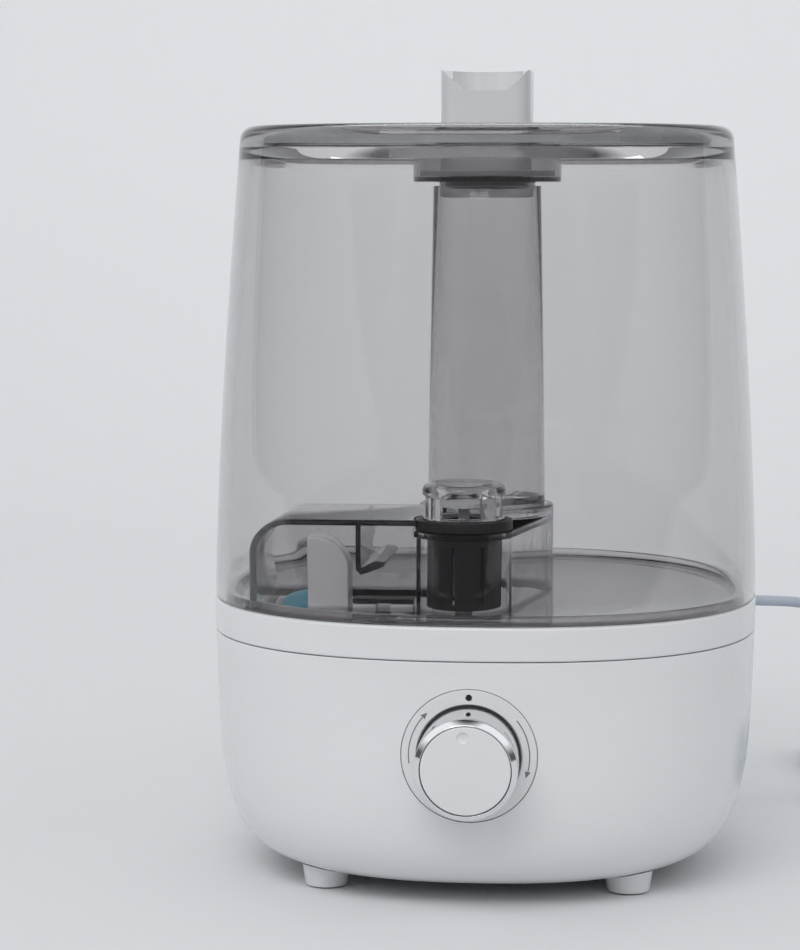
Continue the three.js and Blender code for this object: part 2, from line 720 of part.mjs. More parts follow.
function baseDeck() {
  const skirtR = BOWL_HALF - BASE_WALL - FIT_GAP;
  const profile = [
    [0, DECK_TOP_Z],
    [RING_INSIDE_R, DECK_TOP_Z],
    [RING_INSIDE_R, BASE_TOP_Z],
    [BODY_HALF - RING_CHAMFER, BASE_TOP_Z],
    [BODY_HALF, BASE_TOP_Z - RING_CHAMFER],
    [BODY_HALF, BAND_LOW_Z],
    [skirtR, BAND_LOW_Z],
    [skirtR, PARTING_Z - LAP_LENGTH],
    [skirtR - LAP_WALL, PARTING_Z - LAP_LENGTH],
    [skirtR - LAP_WALL, DECK_LOW_Z],
    [0, DECK_LOW_Z],
  ].reverse();
  const wellDrop = POCKET_ROOF_Z - DECK_LOW_Z - WELL_OVERLAP;
  const wellOuter = pocketFill(FIT_GAP, BASIN_FLOOR_Z, wellDrop, WELL_EDGE_R);
  const wellInner = pocketFill(FIT_GAP + BASIN_WALL, BASIN_INSIDE_Z, -DRILL, WELL_EDGE_R);
  const postLow = HOUSING_BOSS_Z + FIT_GAP;
  const posts = [];
  const holes = [];
  eachCorner(HOUSING_X, HOUSING_Y, (x, y) => {
    posts.push(cylinder(HOUSING_POST_R, postLow, DECK_LOW_Z + OVERCUT, x, y, SMALL_SEGMENTS));
    holes.push(cylinder(SCREW_HOLE_R, 0, DRILL_TOP_Z, x, y, SMALL_SEGMENTS));
  });
  const duct = slab(
    ductOutline(0, BASIN_FLOOR_Z, DUCT_TOP_Z, DUCT_EDGE_R),
    DUCT_SOUTH,
    DUCT_NORTH,
  );
  const ductBore = slab(
    ductOutline(DUCT_WALL, 0, DUCT_TOP_Z - DUCT_WALL, DUCT_EDGE_R - DUCT_WALL),
    DUCT_SOUTH + DUCT_WALL,
    DUCT_NORTH - DUCT_WALL,
  );
  const ductWindow = box(
    DUCT_WEST + DUCT_WALL,
    DUCT_EAST - DUCT_WALL,
    DUCT_NORTH - DUCT_WALL - OVERCUT,
    DUCT_NORTH + OVERCUT,
    DUCT_TOP_Z - DUCT_WINDOW_DROP - DUCT_WINDOW_HEIGHT,
    DUCT_TOP_Z - DUCT_WINDOW_DROP,
  );
  const blockLow = BASIN_FLOOR_Z + OVERCUT;
  const blockTop = STRIP_Z - FIT_GAP;
  const blocks = [STRIP_WEST, STRIP_EAST - STRIP_BLOCK_WIDTH].map((west) =>
    box(west, west + STRIP_BLOCK_WIDTH, STRIP_SOUTH, STRIP_NORTH, blockLow, blockTop),
  );
  const sealHole = cylinder(SEAL_R + FIT_GAP, 0, BASIN_INSIDE_Z + OVERCUT);
  const plate = cut(join(bodyLathe(profile), ...posts, ...wellOuter), ...wellInner);
  const topped = join(plate, duct, ...blocks);
  return cut(topped, ductBore, ductWindow, sealHole, ...holes);
}

function bottomCover() {
  const coverR = COVER_SEAT_R - FIT_GAP;
  const top = FOOT_HEIGHT + COVER_THICKNESS;
  const plate = bodyLathe([[0, FOOT_HEIGHT], [coverR, FOOT_HEIGHT], [coverR, top], [0, top]]);
  const headSeat = FOOT_HEIGHT + COVER_HEAD_HEIGHT;
  const posts = [];
  const holes = [];
  eachCorner(FAN_POST, FAN_POST, (x, y) => {
    posts.push(cylinder(FAN_POST_R, FOOT_HEIGHT, FAN_Z - FIT_GAP, x, y, SMALL_SEGMENTS));
  });
  eachCorner(COVER_SCREW_SPAN, COVER_SCREW_SPAN, (x, y) => {
    holes.push(cylinder(SCREW_HOLE_R, 0, DRILL_TOP_Z, x, y, SMALL_SEGMENTS));
    holes.push(cylinder(SCREW_HEAD_R + FIT_GAP, 0, headSeat, x, y, SMALL_SEGMENTS));
  });
  for (let row = -SLOT_ROWS; row <= SLOT_ROWS; row += 1) {
    const y = row * SLOT_PITCH;
    const half = Math.sqrt(SLOT_REACH ** 2 - y ** 2);
    holes.push(box(-half, half, y - SLOT_WIDTH / 2, y + SLOT_WIDTH / 2, 0, DRILL_TOP_Z));
  }
  return cut(join(plate, ...posts), ...holes);
}

function screw(x, y, headLow, headHigh, tip) {
  const profile = [
    [0, headLow],
    [SCREW_HEAD_R, headLow],
    [SCREW_HEAD_R, headHigh],
    [SCREW_SHANK_R, headHigh],
    [SCREW_SHANK_R, tip - SCREW_POINT],
    [0, tip],
  ];
  return lathe(profile, SCREW_SEGMENTS).translate(x, y, 0);
}

function foot(x, y) {
  const low = FOOT_PAD_STANDOUT;
  const pocketTop = FOOT_PAD_THICKNESS + FIT_GAP;
  const cone = lathe([
    [0, pocketTop],
    [FOOT_PAD_R + FIT_GAP, pocketTop],
    [FOOT_PAD_R + FIT_GAP, low],
    [FOOT_R, low],
    [FOOT_TOP_R, FOOT_HEIGHT + FOOT_CONE],
    [0, FOOT_HEIGHT + FOOT_CONE],
  ], FOOT_SEGMENTS).translate(x, y, 0);
  const trimmed = cut(cone, bowlFill(-FIT_GAP));
  const spigot = cylinder(SPIGOT_R, pocketTop + OVERCUT, SPIGOT_TOP_Z, x, y, SMALL_SEGMENTS);
  return join(trimmed, spigot);
}

function dialPlate() {
  const skin = cut(bowlFill(0), bowlFill(DIAL_PLATE));
  const disc = ring(DIAL_INSIDE_R, DIAL_R, -DRILL, DRILL);
  const lensHole = cylinder(LENS_R + FIT_GAP, -DRILL, DRILL, 0, LENS_FROM_CENTRE, SMALL_SEGMENTS);
  return cut(common(skin, inDial(disc)), inDial(lensHole));
}

function fanFrame() {
  const outline = roundedSquare(FAN_WIDTH / 2, FAN_CORNER_R);
  const bore = new THREE.Path();
  bore.absarc(0, 0, FAN_BORE_R, 0, 2 * Math.PI, true);
  outline.holes.push(bore);
  const frame = prism(outline, FAN_Z, FAN_Z + FAN_DEPTH, 10);
  const plateTop = FAN_Z + FAN_PLATE;
  const plate = cylinder(FAN_HUB_R, FAN_Z, plateTop);
  const armHalf = FAN_ARM_WIDTH / 2;
  const arms = [];
  for (let k = 0; k < FAN_ARMS; k += 1) {
    const inner = FAN_HUB_R - FAN_ARM_ENTRY;
    const arm = box(inner, FAN_BORE_R + OVERCUT, -armHalf, armHalf, FAN_Z, plateTop);
    arms.push(arm.rotateZ((k * 2 * Math.PI) / FAN_ARMS));
  }
  return join(frame, plate, ...arms);
}

function fanImpeller() {
  const low = FAN_Z + FAN_HUB_RISE;
  const top = FAN_Z + FAN_DEPTH - FAN_HUB_DROP;
  const hub = lathe([
    [0, top],
    [FAN_HUB_R, top],
    [FAN_HUB_R, low],
    [FAN_HUB_R - FAN_HUB_WALL, low],
    [FAN_HUB_R - FAN_HUB_WALL, top - FAN_HUB_WALL],
    [FAN_SHAFT_R, top - FAN_HUB_WALL],
    [FAN_SHAFT_R, low],
    [0, low],
  ], HUB_SEGMENTS);
  const bladeLength = FAN_BORE_R - FAN_TIP_GAP - FAN_HUB_R + OVERCUT;
  const blades = [];
  for (let k = 0; k < FAN_BLADES; k += 1) {
    const blade = new THREE.BoxGeometry(bladeLength, FAN_BLADE_THICKNESS, FAN_BLADE_CHORD);
    blade.rotateX(THREE.MathUtils.degToRad(FAN_BLADE_PITCH));
    blade.translate(FAN_HUB_R - OVERCUT + bladeLength / 2, 0, (low + top) / 2);
    blades.push(blade.rotateZ((k * 2 * Math.PI) / FAN_BLADES));
  }
  return join(hub, ...blades);
}

function fanMotor() {
  const low = FAN_Z + FAN_PLATE + FIT_GAP;
  const high = FAN_Z + FAN_DEPTH - FAN_MOTOR_DROP;
  const outerR = FAN_HUB_R - FAN_MOTOR_MARGIN;
  return ring(FAN_SHAFT_R + FIT_GAP, outerR, low, high, 0, 0, HUB_SEGMENTS);
}

function heatSink() {
  const low = BOARD_PART_Z;
  const base = box(SINK_WEST, SINK_EAST, SINK_SOUTH, SINK_NORTH, low, low + SINK_BASE);
  const fins = [];
  for (let k = 0; k < FINS; k += 1) {
    const west = SINK_WEST + FIN_INSET + FIN_PITCH * k;
    const finLow = low + SINK_BASE - OVERCUT;
    fins.push(box(west, west + FIN_WIDTH, SINK_SOUTH, SINK_NORTH, finLow, low + SINK_HEIGHT));
  }
  return join(base, ...fins);
}

function makeBase(group) {
  addMesh(group, "base_bowl", baseBowl(), WHITE);
  addMesh(group, "base_deck", baseDeck(), WHITE);
  addMesh(group, "bottom_cover", bottomCover(), WHITE);
  eachCorner(FOOT_X, FOOT_Y, (x, y, n) => {
    addMesh(group, `foot_${n}`, foot(x, y), WHITE);
    const pad = cylinder(FOOT_PAD_R, 0, FOOT_PAD_THICKNESS, x, y, SMALL_SEGMENTS);
    addMesh(group, `foot_pad_${n}`, pad, RUBBER);
  });
  eachCorner(COVER_SCREW_SPAN, COVER_SCREW_SPAN, (x, y, n) => {
    const headLow = FOOT_HEIGHT - COVER_HEAD_STANDOUT;
    const made = screw(x, y, headLow, headLow + COVER_HEAD_HEIGHT, COVER_SCREW_TIP_Z);
    addMesh(group, `cover_screw_${n}`, made, METAL);
  });
  eachCorner(HOUSING_X, HOUSING_Y, (x, y, n) => {
    const made = screw(x, y, HOUSING_HEAD_LOW_Z, HOUSING_HEAD_Z, HOUSING_SCREW_TIP_Z);
    addMesh(group, `housing_screw_${n}`, made, METAL);
  });
  addMesh(group, "dial_plate", dialPlate(), WHITE);

  const boardLow = BOARD_Z + FIT_GAP;
  const boardTop = boardLow + BOARD_THICKNESS;
  const board = box(-BOARD_HALF, BOARD_HALF, BOARD_SOUTH, BOARD_NORTH, boardLow, boardTop);
  addMesh(group, "main_board", board, BOARD);
  addMesh(group, "heat_sink", heatSink(), ALUMINIUM);
  const transformer = box(
    TRANSFORMER_WEST,
    TRANSFORMER_EAST,
    TRANSFORMER_SOUTH,
    TRANSFORMER_NORTH,
    BOARD_PART_Z,
    BOARD_PART_Z + TRANSFORMER_HEIGHT,
  );
  addMesh(group, "transformer", transformer, BLACK);

  addMesh(group, "fan_frame", fanFrame(), BLACK);
  addMesh(group, "fan_motor", fanMotor(), METAL);
  addMesh(group, "fan_impeller", fanImpeller(), BLACK);
  const filterLow = FOOT_HEIGHT + COVER_THICKNESS + FIT_GAP;
  const filter = cylinder(FAN_POST + FILTER_MARGIN, filterLow, filterLow + FILTER_THICKNESS);
  addMesh(group, "inlet_filter", filter, FOAM);

  const sealLow = BASIN_FLOOR_Z - SEAL_STANDOUT;
  const sealTop = BASIN_INSIDE_Z + SEAL_STANDOUT;
  const discSeat = BASIN_INSIDE_Z - SEAL_LIP;
  const seal = lathe([
    [TRANSDUCER_R, sealLow],
    [SEAL_R, sealLow],
    [SEAL_R, sealTop],
    [SEAL_MOUTH_R, sealTop],
    [SEAL_MOUTH_R, discSeat],
    [TRANSDUCER_R, discSeat],
  ]);
  addMesh(group, "transducer_seal", seal, SILICONE);
  const discTop = discSeat - FIT_GAP;
  const disc = cylinder(TRANSDUCER_R - FIT_GAP, discTop - TRANSDUCER_THICKNESS, discTop);
  addMesh(group, "transducer", disc, BRASS);
  const clampTop = sealLow - FIT_GAP;
  const clamp = ring(CLAMP_BORE_R, CLAMP_R, clampTop - CLAMP_THICKNESS, clampTop);
  addMesh(group, "transducer_clamp", clamp, ALUMINIUM);

  const stripTop = STRIP_Z + STRIP_THICKNESS;
  const stripBox = box(STRIP_WEST, STRIP_EAST, STRIP_SOUTH, STRIP_NORTH, STRIP_Z, stripTop);
  addMesh(group, "basin_strip", stripBox, BLACK);
  const basinZ = BASIN_INSIDE_Z + FIT_GAP;
  const pin = lathe([
    [0, basinZ],
    [PUSH_PIN_FOOT_R, basinZ],
    [PUSH_PIN_FOOT_R, basinZ + PUSH_PIN_FOOT],
    [PUSH_PIN_R, basinZ + PUSH_PIN_CONE],
    [PUSH_PIN_R, PUSH_PIN_TOP_Z],
    [0, PUSH_PIN_TOP_Z],
  ], ROUND_SEGMENTS).translate(VALVE_X, VALVE_Y, 0);
  addMesh(group, "valve_push_pin", pin, WHITE);
  const post = lathe([
    [0, basinZ],
    [FLOAT_POST_R + FLOAT_POST_STEP, basinZ],
    [FLOAT_POST_R + FLOAT_POST_STEP, FLOAT_LOW_Z - FIT_GAP],
    [FLOAT_POST_R, FLOAT_LOW_Z - FIT_GAP],
    [FLOAT_POST_R, FLOAT_LOW_Z + FLOAT_POST_LENGTH],
    [0, FLOAT_LOW_Z + FLOAT_POST_LENGTH],
  ], ROUND_SEGMENTS).translate(FLOAT_X, FLOAT_Y, 0);
  addMesh(group, "float_post", post, WHITE);
}

// ---- Float ----

function makeFloat(group) {
  const domeLow = FLOAT_LOW_Z + FLOAT_SIDE;
  const dome = new THREE.EllipseCurve(0, domeLow, FLOAT_R, FLOAT_DOME, 0, Math.PI / 2).getPoints(6);
  const boreR = FLOAT_POST_R + SLIDE_GAP;
  const body = lathe([
    [0, FLOAT_LOW_Z + FLOAT_BORE_DEPTH],
    [boreR, FLOAT_LOW_Z + FLOAT_BORE_DEPTH],
    [boreR, FLOAT_LOW_Z],
    [FLOAT_R, FLOAT_LOW_Z],
    ...dome.slice(0, -1).map((point) => [point.x, point.y]),
    [0, domeLow + FLOAT_DOME],
  ]).translate(FLOAT_X, FLOAT_Y, 0);
  addMesh(group, "float", body, TEAL);
}

// ---- Knob ----

function makeDialParts(group) {
  const gasketR = DIAL_INSIDE_R - FIT_GAP;
  const gasketBoreR = gasketR - DIAL_GASKET_WIDTH;
  const gasket = ring(gasketBoreR, gasketR, DIAL_GASKET_LOW, DIAL_GASKET_TOP);
  addMesh(group, "dial_gasket", gasket, RUBBER);
  const lens = cylinder(LENS_R, LENS_LOW, LENS_TOP, 0, LENS_FROM_CENTRE, SMALL_SEGMENTS);
  addMesh(group, "indicator_lens", lens, BLACK);
  const nutHole = cylinder(BUSH_R + FIT_GAP, -DRILL, DRILL, 0, 0, SMALL_SEGMENTS);
  const hexagon = cylinder(BUSH_R + NUT_STANDOUT, NUT_LOW, NUT_TOP, 0, 0, 6);
  addMesh(group, "potentiometer_nut", cut(hexagon, nutHole), METAL);
  const canTop = -BASE_WALL - CAN_TO_WALL;
  const potentiometer = lathe([
    [SHAFT_R + FIT_GAP, -CAN_DEPTH],
    [CAN_R, -CAN_DEPTH],
    [CAN_R, canTop],
    [BUSH_R, canTop],
    [BUSH_R, BUSH_TOP],
    [SHAFT_R + FIT_GAP, BUSH_TOP],
  ], ROUND_SEGMENTS);
  addMesh(group, "potentiometer", potentiometer, METAL);
}

function makeKnob(group) {
  const back = FIT_GAP;
  const wallInside = KNOB_R - KNOB_WALL;
  const faceSeat = KNOB_FACE_R - KNOB_SEAT_WIDTH;
  const mouthR = KNOB_FACE_R + FIT_GAP;
  const faceLow = KNOB_LENGTH - KNOB_FACE_DEPTH;
  const seatTop = faceLow - FIT_GAP;
  const seatLow = seatTop - KNOB_SEAT_THICKNESS;
  const skirt = lathe([
    [wallInside, back],
    [KNOB_R, back],
    [KNOB_R, KNOB_LENGTH - KNOB_BEVEL],
    [mouthR + KNOB_LIP, KNOB_LENGTH],
    [mouthR, KNOB_LENGTH],
    [mouthR, seatTop],
    [faceSeat, seatTop],
    [faceSeat, seatLow],
    [wallInside, seatLow - KNOB_SEAT_SLOPE],
  ], KNOB_SEGMENTS);
  addMesh(group, "knob_skirt", skirt, CHROME);
  const face = lathe([
    [0, KNOB_LENGTH],
    [KNOB_FACE_R - KNOB_FACE_CHAMFER, KNOB_LENGTH],
    [KNOB_FACE_R, KNOB_LENGTH - KNOB_FACE_CHAMFER],
    [KNOB_FACE_R, faceLow],
    [KNOB_HUB_R, faceLow],
    [KNOB_HUB_R, KNOB_HUB_LOW],
    [SHAFT_R + FIT_GAP, KNOB_HUB_LOW],
    [SHAFT_R + FIT_GAP, KNOB_SOCKET_TOP],
    [0, KNOB_SOCKET_TOP],
  ].reverse(), KNOB_SEGMENTS);
  const dimple = new THREE.SphereGeometry(DIMPLE_R, 8, 6).scale(1, 1, DIMPLE_FLATNESS);
  dimple.translate(DIMPLE_X, DIMPLE_Y, KNOB_LENGTH);
  addMesh(group, "knob_face", cut(face, dimple), WHITE);
  addMesh(group, "knob_shaft", cylinder(SHAFT_R, -DRILL, SHAFT_TOP, 0, 0, SMALL_SEGMENTS), METAL);
}

// ---- Tank ----

function tankShell() {
  const shoulder = new THREE.EllipseCurve(
    tankHalf(SHOULDER_Z) - SHOULDER_R,
    SHOULDER_Z,
    SHOULDER_R,
    SHOULDER_R,
    0,
    Math.PI / 2,
  ).getPoints(3);
  const lipLow = TANK_TOP_Z - LIP_DEPTH;
  return bodyLathe([
    [TANK_INSIDE_R, TANK_LOW_Z],
    [tankHalf(TANK_LOW_Z) - TANK_FOOT_CHAMFER, TANK_LOW_Z],
    ...tankSide(0, TANK_LOW_Z + TANK_FOOT_CHAMFER_RISE, SHOULDER_Z, 6),
    ...shoulder.slice(1).map((point) => [point.x, point.y]),
    [TANK_MOUTH_R, TANK_TOP_Z],
    [TANK_MOUTH_R, LID_SEAT_Z],
    [LID_SEAT_R, LID_SEAT_Z],
    [LID_SEAT_R, lipLow],
    ...tankSide(TANK_WALL, TANK_LOW_Z + OVERCUT, lipLow - LIP_TAPER, 5).reverse(),
  ]);
}

function tankFloor() {
  const plate = bodyLathe([
    [0, TANK_FLOOR_LOW_Z],
    [TANK_FLOOR_R, TANK_FLOOR_LOW_Z],
    [TANK_FLOOR_R, TANK_FLOOR_Z + TANK_FLOOR_RIM],
    [TANK_FLOOR_R - TANK_RIM_WALL, TANK_FLOOR_Z + TANK_FLOOR_RIM],
    [TANK_FLOOR_R - TANK_RIM_WALL, TANK_FLOOR_Z],
    [0, TANK_FLOOR_Z],
  ]);
  const low = TANK_FLOOR_LOW_Z;
  const neckOuter = pocketNeck(0, low, VALVE_ROOF_Z);
  const neckInner = pocketNeck(POCKET_WALL, low - OVERCUT, VALVE_ROOF_Z - POCKET_WALL);
  const [boxOuter, chamberOuter] = pocketFill(0, low);
  const [boxInner, chamberInner] = pocketFill(POCKET_WALL, low - OVERCUT);
  const roofCut = POCKET_ROOF_Z + OVERCUT;
  const flangeSeat = cylinder(VALVE_POCKET_R, VALVE_ROOF_Z, roofCut, VALVE_X, VALVE_Y);
  const barrelHole = cylinder(VALVE_BARREL_R + FIT_GAP, low, POCKET_ROOF_Z, VALVE_X, VALVE_Y);
  const tubeHole = cylinder(MIST_TUBE_SPIGOT_R + FIT_GAP, low, roofCut);
  const seatRing = pocketNeck(0, VALVE_ROOF_Z - POCKET_WALL, VALVE_ROOF_Z);
  const roofed = cut(join(plate, boxOuter, chamberOuter, neckOuter), flangeSeat);
  const hollow = cut(roofed, boxInner, chamberInner, neckInner);
  const seated = join(hollow, seatRing);
  const south = POCKET_SOUTH + POCKET_WALL - BAFFLE_OVERLAP;
  const north = POCKET_NORTH - POCKET_WALL + BAFFLE_OVERLAP;
  const baffleTop = POCKET_ROOF_Z - OVERCUT;
  const baffleEast = BAFFLE_WEST + BAFFLE_THICKNESS;
  const flapEast = baffleEast + FLAP_REACH;
  const flapLow = BAFFLE_LOW_Z + FLAP_RISE;
  const flapTop = flapLow + FLAP_THICKNESS;
  const baffle = slab(
    polygon([
      [BAFFLE_WEST, BAFFLE_LOW_Z],
      [baffleEast, BAFFLE_LOW_Z - BAFFLE_THICKNESS],
      [flapEast, flapLow],
      [flapEast, flapTop],
      [baffleEast + FLAP_SWELL_SHARE * FLAP_REACH, flapTop + FLAP_SWELL],
      [baffleEast, BAFFLE_LOW_Z + FLAP_ROOT],
      [baffleEast, baffleTop],
      [BAFFLE_WEST, baffleTop],
    ]),
    south,
    north,
  );
  const lugLow = TANK_FLOOR_Z - OVERCUT;
  const lugTop = TANK_FLOOR_Z + LUG_HEIGHT;
  const keyLug = box(LUG_WEST, LUG_EAST, LUG_SOUTH, LUG_NORTH, lugLow, lugTop);
  return cut(join(seated, baffle, keyLug), barrelHole, tubeHole);
}

function mistTube() {
  const foot = POCKET_ROOF_Z + FIT_GAP;
  const footBoreR = MIST_TUBE_FOOT_R - MIST_TUBE_WALL;
  return lathe([
    [MIST_TUBE_BORE_R, foot - MIST_TUBE_SPIGOT],
    [MIST_TUBE_SPIGOT_R, foot - MIST_TUBE_SPIGOT],
    [MIST_TUBE_SPIGOT_R, foot],
    [MIST_TUBE_FOOT_R, foot],
    [MIST_TUBE_TOP_R, MIST_TUBE_TOP_Z],
    [MIST_TUBE_BORE_R, MIST_TUBE_TOP_Z],
    [footBoreR, foot + MIST_TUBE_BORE_STEP],
    [MIST_TUBE_BORE_R, foot + MIST_TUBE_LEDGE],
  ], BODY_SEGMENTS);
}

function valveBody() {
  const boreR = VALVE_BARREL_R - VALVE_BARREL_WALL;
  const flangeLow = VALVE_ROOF_Z + FIT_GAP;
  const seatLow = POCKET_ROOF_Z - VALVE_SEAT_THICKNESS;
  const body = lathe([
    [boreR, VALVE_BARREL_LOW_Z],
    [VALVE_BARREL_R, VALVE_BARREL_LOW_Z],
    [VALVE_BARREL_R, flangeLow],
    [VALVE_FLANGE_R, flangeLow],
    [VALVE_FLANGE_R, POCKET_ROOF_Z],
    [VALVE_SEAT_R, POCKET_ROOF_Z],
    [VALVE_SEAT_R, seatLow],
    [boreR, seatLow],
  ]);
  const half = VALVE_SLOT_WIDTH / 2;
  const firstSlot = THREE.MathUtils.degToRad(VALVE_SLOT_TURN);
  const slots = [];
  for (let k = 0; k < VALVE_SLOTS; k += 1) {
    const slot = box(0, VALVE_FLANGE_R, -half, half, VALVE_SLOT_LOW_Z, VALVE_SLOT_TOP_Z);
    slots.push(slot.rotateZ(firstSlot + (k * 2 * Math.PI) / VALVE_SLOTS));
  }
  return cut(body, ...slots).translate(VALVE_X, VALVE_Y, 0);
}

function valveCap() {
  const low = POCKET_ROOF_Z + FIT_GAP;
  const top = low + VALVE_CAP_HEIGHT;
  const crown = VALVE_CAP_CROWN_R;
  const arc = new THREE.EllipseCurve(VALVE_CAP_R - crown, top - crown, crown, crown, 0, Math.PI / 2);
  const inner = VALVE_CAP_R - VALVE_CAP_WALL;
  const body = lathe([
    [0, top - VALVE_CAP_WALL],
    [inner - crown, top - VALVE_CAP_WALL],
    [inner, top - VALVE_CAP_WALL - crown],
    [inner, low],
    [VALVE_CAP_R, low],
    ...arc.getPoints(4).map((point) => [point.x, point.y]),
    [0, top],
  ]);
  const half = VALVE_WINDOW_WIDTH / 2;
  const windowLow = low + VALVE_WINDOW_LOW;
  const windowHigh = low + VALVE_WINDOW_HIGH;
  const windows = [];
  for (let k = 0; k < VALVE_WINDOWS; k += 1) {
    const window = box(0, VALVE_FLANGE_R, -half, half, windowLow, windowHigh);
    windows.push(window.rotateZ((k * 2 * Math.PI) / VALVE_WINDOWS));
  }
  return cut(body, ...windows).translate(VALVE_X, VALVE_Y, 0);
}

function makeTank(group) {
  addMesh(group, "tank_shell", tankShell(), SMOKE);
  addMesh(group, "tank_floor", tankFloor(), SMOKE);
  addMesh(group, "mist_tube", mistTube(), SMOKE);
  addMesh(group, "valve_body", valveBody(), BLACK);
  addMesh(group, "valve_cap", valveCap(), CLEAR);
}

function makePlunger(group) {
  const stemTop = HEAD_REST_Z;
  const collarTop = PLUNGER_LOW_Z + PLUNGER_COLLAR;
  const body = lathe([
    [0, PLUNGER_LOW_Z],
    [PLUNGER_FOOT_R, PLUNGER_LOW_Z],
    [PLUNGER_FOOT_R, collarTop],
    [PLUNGER_STEM_R, collarTop],
    [PLUNGER_STEM_R, stemTop],
    [PLUNGER_HEAD_R, stemTop],
    [PLUNGER_HEAD_R, stemTop + PLUNGER_HEAD],
    [0, stemTop + PLUNGER_HEAD],
  ], ROUND_SEGMENTS).translate(VALVE_X, VALVE_Y, 0);
  addMesh(group, "valve_plunger", body, SILICONE);
  const wireR = SPRING_WIRE_R;
  const springR = PLUNGER_STEM_R + FIT_GAP + wireR + SPRING_SLACK;
  const springLow = collarTop + FIT_GAP + wireR;
  const springHigh = POCKET_ROOF_Z - VALVE_SEAT_THICKNESS - FIT_GAP - wireR;
  const steps = SPRING_TURNS * SPRING_POINTS;
  const points = [];
  for (let i = 0; i <= steps; i += 1) {
    const angle = (i * 2 * Math.PI) / SPRING_POINTS;
    const z = springLow + ((springHigh - springLow) * i) / steps;
    points.push(new THREE.Vector3(springR * Math.cos(angle), springR * Math.sin(angle), z));
  }
  const spring = tube(points, wireR, SPRING_TURNS * 7, 6).translate(VALVE_X, VALVE_Y, 0);
  addMesh(group, "valve_spring", spring, METAL);
}

// A round bar along a smooth curve through points.
function tube(points, radius, steps, sides) {
  const section = new THREE.Shape();
  section.absarc(0, 0, radius, 0, 2 * Math.PI);
  const extrudePath = new THREE.CatmullRomCurve3(points, false, "centripetal");
  const settings = { steps, extrudePath, curveSegments: sides / 2, bevelEnabled: false };
  return toGeometry(toSolid(new THREE.ExtrudeGeometry(section, settings)));
}

// ---- Lid and nozzle ----

function makeLid(group) {
  const plateR = TANK_MOUTH_R - SLIDE_GAP;
  const plateLow = LID_SEAT_Z + FIT_GAP;
  const skirtR = LID_SKIRT_R;
  const grooveLow = LID_SKIRT_LOW_Z + GROOVE_FROM_RIM;
  const grooveHigh = grooveLow + GROOVE_HEIGHT;
  const grooveR = skirtR - GROOVE_DEPTH;
  const plate = bodyLathe([
    [0, TANK_TOP_Z],
    [plateR - LID_EDGE_CHAMFER, TANK_TOP_Z],
    [plateR, TANK_TOP_Z - LID_EDGE_CHAMFER],
    [plateR, plateLow],
    [skirtR, plateLow],
    [skirtR, grooveHigh],
    [grooveR, grooveHigh],
    [grooveR, grooveLow],
    [skirtR, grooveLow],
    [skirtR, LID_SKIRT_LOW_Z],
    [skirtR - LID_SKIRT_WALL, LID_SKIRT_LOW_Z],
    [skirtR - LID_SKIRT_WALL, TANK_TOP_Z - LID_PLATE],
    [0, TANK_TOP_Z - LID_PLATE],
  ].reverse());
  const cupOuterR = LID_CUP_R + LID_CUP_WALL;
  const cup = lathe([
    [LID_CUP_R, TANK_TOP_Z],
    [cupOuterR, TANK_TOP_Z],
    [cupOuterR, CUP_LOW_Z],
    [SLEEVE_R, CUP_LOW_Z],
    [SLEEVE_R, CUP_LOW_Z - SLEEVE_LENGTH],
    [SLEEVE_BORE_R, CUP_LOW_Z - SLEEVE_LENGTH],
    [SLEEVE_BORE_R, CUP_LOW_Z + LID_PLATE],
    [LID_CUP_R, CUP_LOW_Z + LID_PLATE],
  ], BODY_SEGMENTS);
  const openingR = LID_CUP_R + CUP_OVERLAP;
  const opening = cylinder(openingR, CUP_LOW_Z, TANK_TOP_Z + OVERCUT, 0, 0, BODY_SEGMENTS);
  addMesh(group, "lid", join(cut(plate, opening), cup), SMOKE);
  const gasket = bodyLathe([
    [grooveR + FIT_GAP, grooveLow + FIT_GAP],
    [skirtR + GASKET_STANDOUT, grooveLow + FIT_GAP],
    [skirtR + GASKET_STANDOUT, grooveHigh - FIT_GAP],
    [grooveR + FIT_GAP, grooveHigh - FIT_GAP],
  ]);
  addMesh(group, "lid_gasket", gasket, SILICONE);
}

function makeNozzle(group) {
  const low = CUP_LOW_Z + LID_PLATE + FIT_GAP;
  const top = TANK_TOP_Z + NOZZLE_RISE;
  const half = NOZZLE_WIDTH / 2;
  const spigotR = SLEEVE_BORE_R - FIT_GAP;
  const disc = cylinder(LID_CUP_R - SLIDE_GAP, low, low + NOZZLE_DISC);
  const spigot = cylinder(spigotR, low - NOZZLE_SPIGOT, low + OVERCUT);
  const body = prism(roundedSquare(half, NOZZLE_CORNER_R), low + OVERCUT, top, 5);
  const bore = cylinder(NOZZLE_BORE_R, low - DRILL, top + DRILL);
  const notchLow = top - NOZZLE_NOTCH_DEPTH;
  const notchTop = top + OVERCUT;
  const notchHalf = NOZZLE_NOTCH_WIDTH / 2;
  const mouthHalf = half - NOZZLE_NOTCH_EDGE;
  const notch = slab(
    polygon([
      [-notchHalf, notchLow],
      [notchHalf, notchLow],
      [mouthHalf, top],
      [mouthHalf, notchTop],
      [-mouthHalf, notchTop],
      [-mouthHalf, top],
    ]),
    -half - OVERCUT,
    0,
  );
  addMesh(group, "mist_nozzle", cut(join(disc, spigot, body), bore, notch), WHITE);
}

// ---- Cord ----

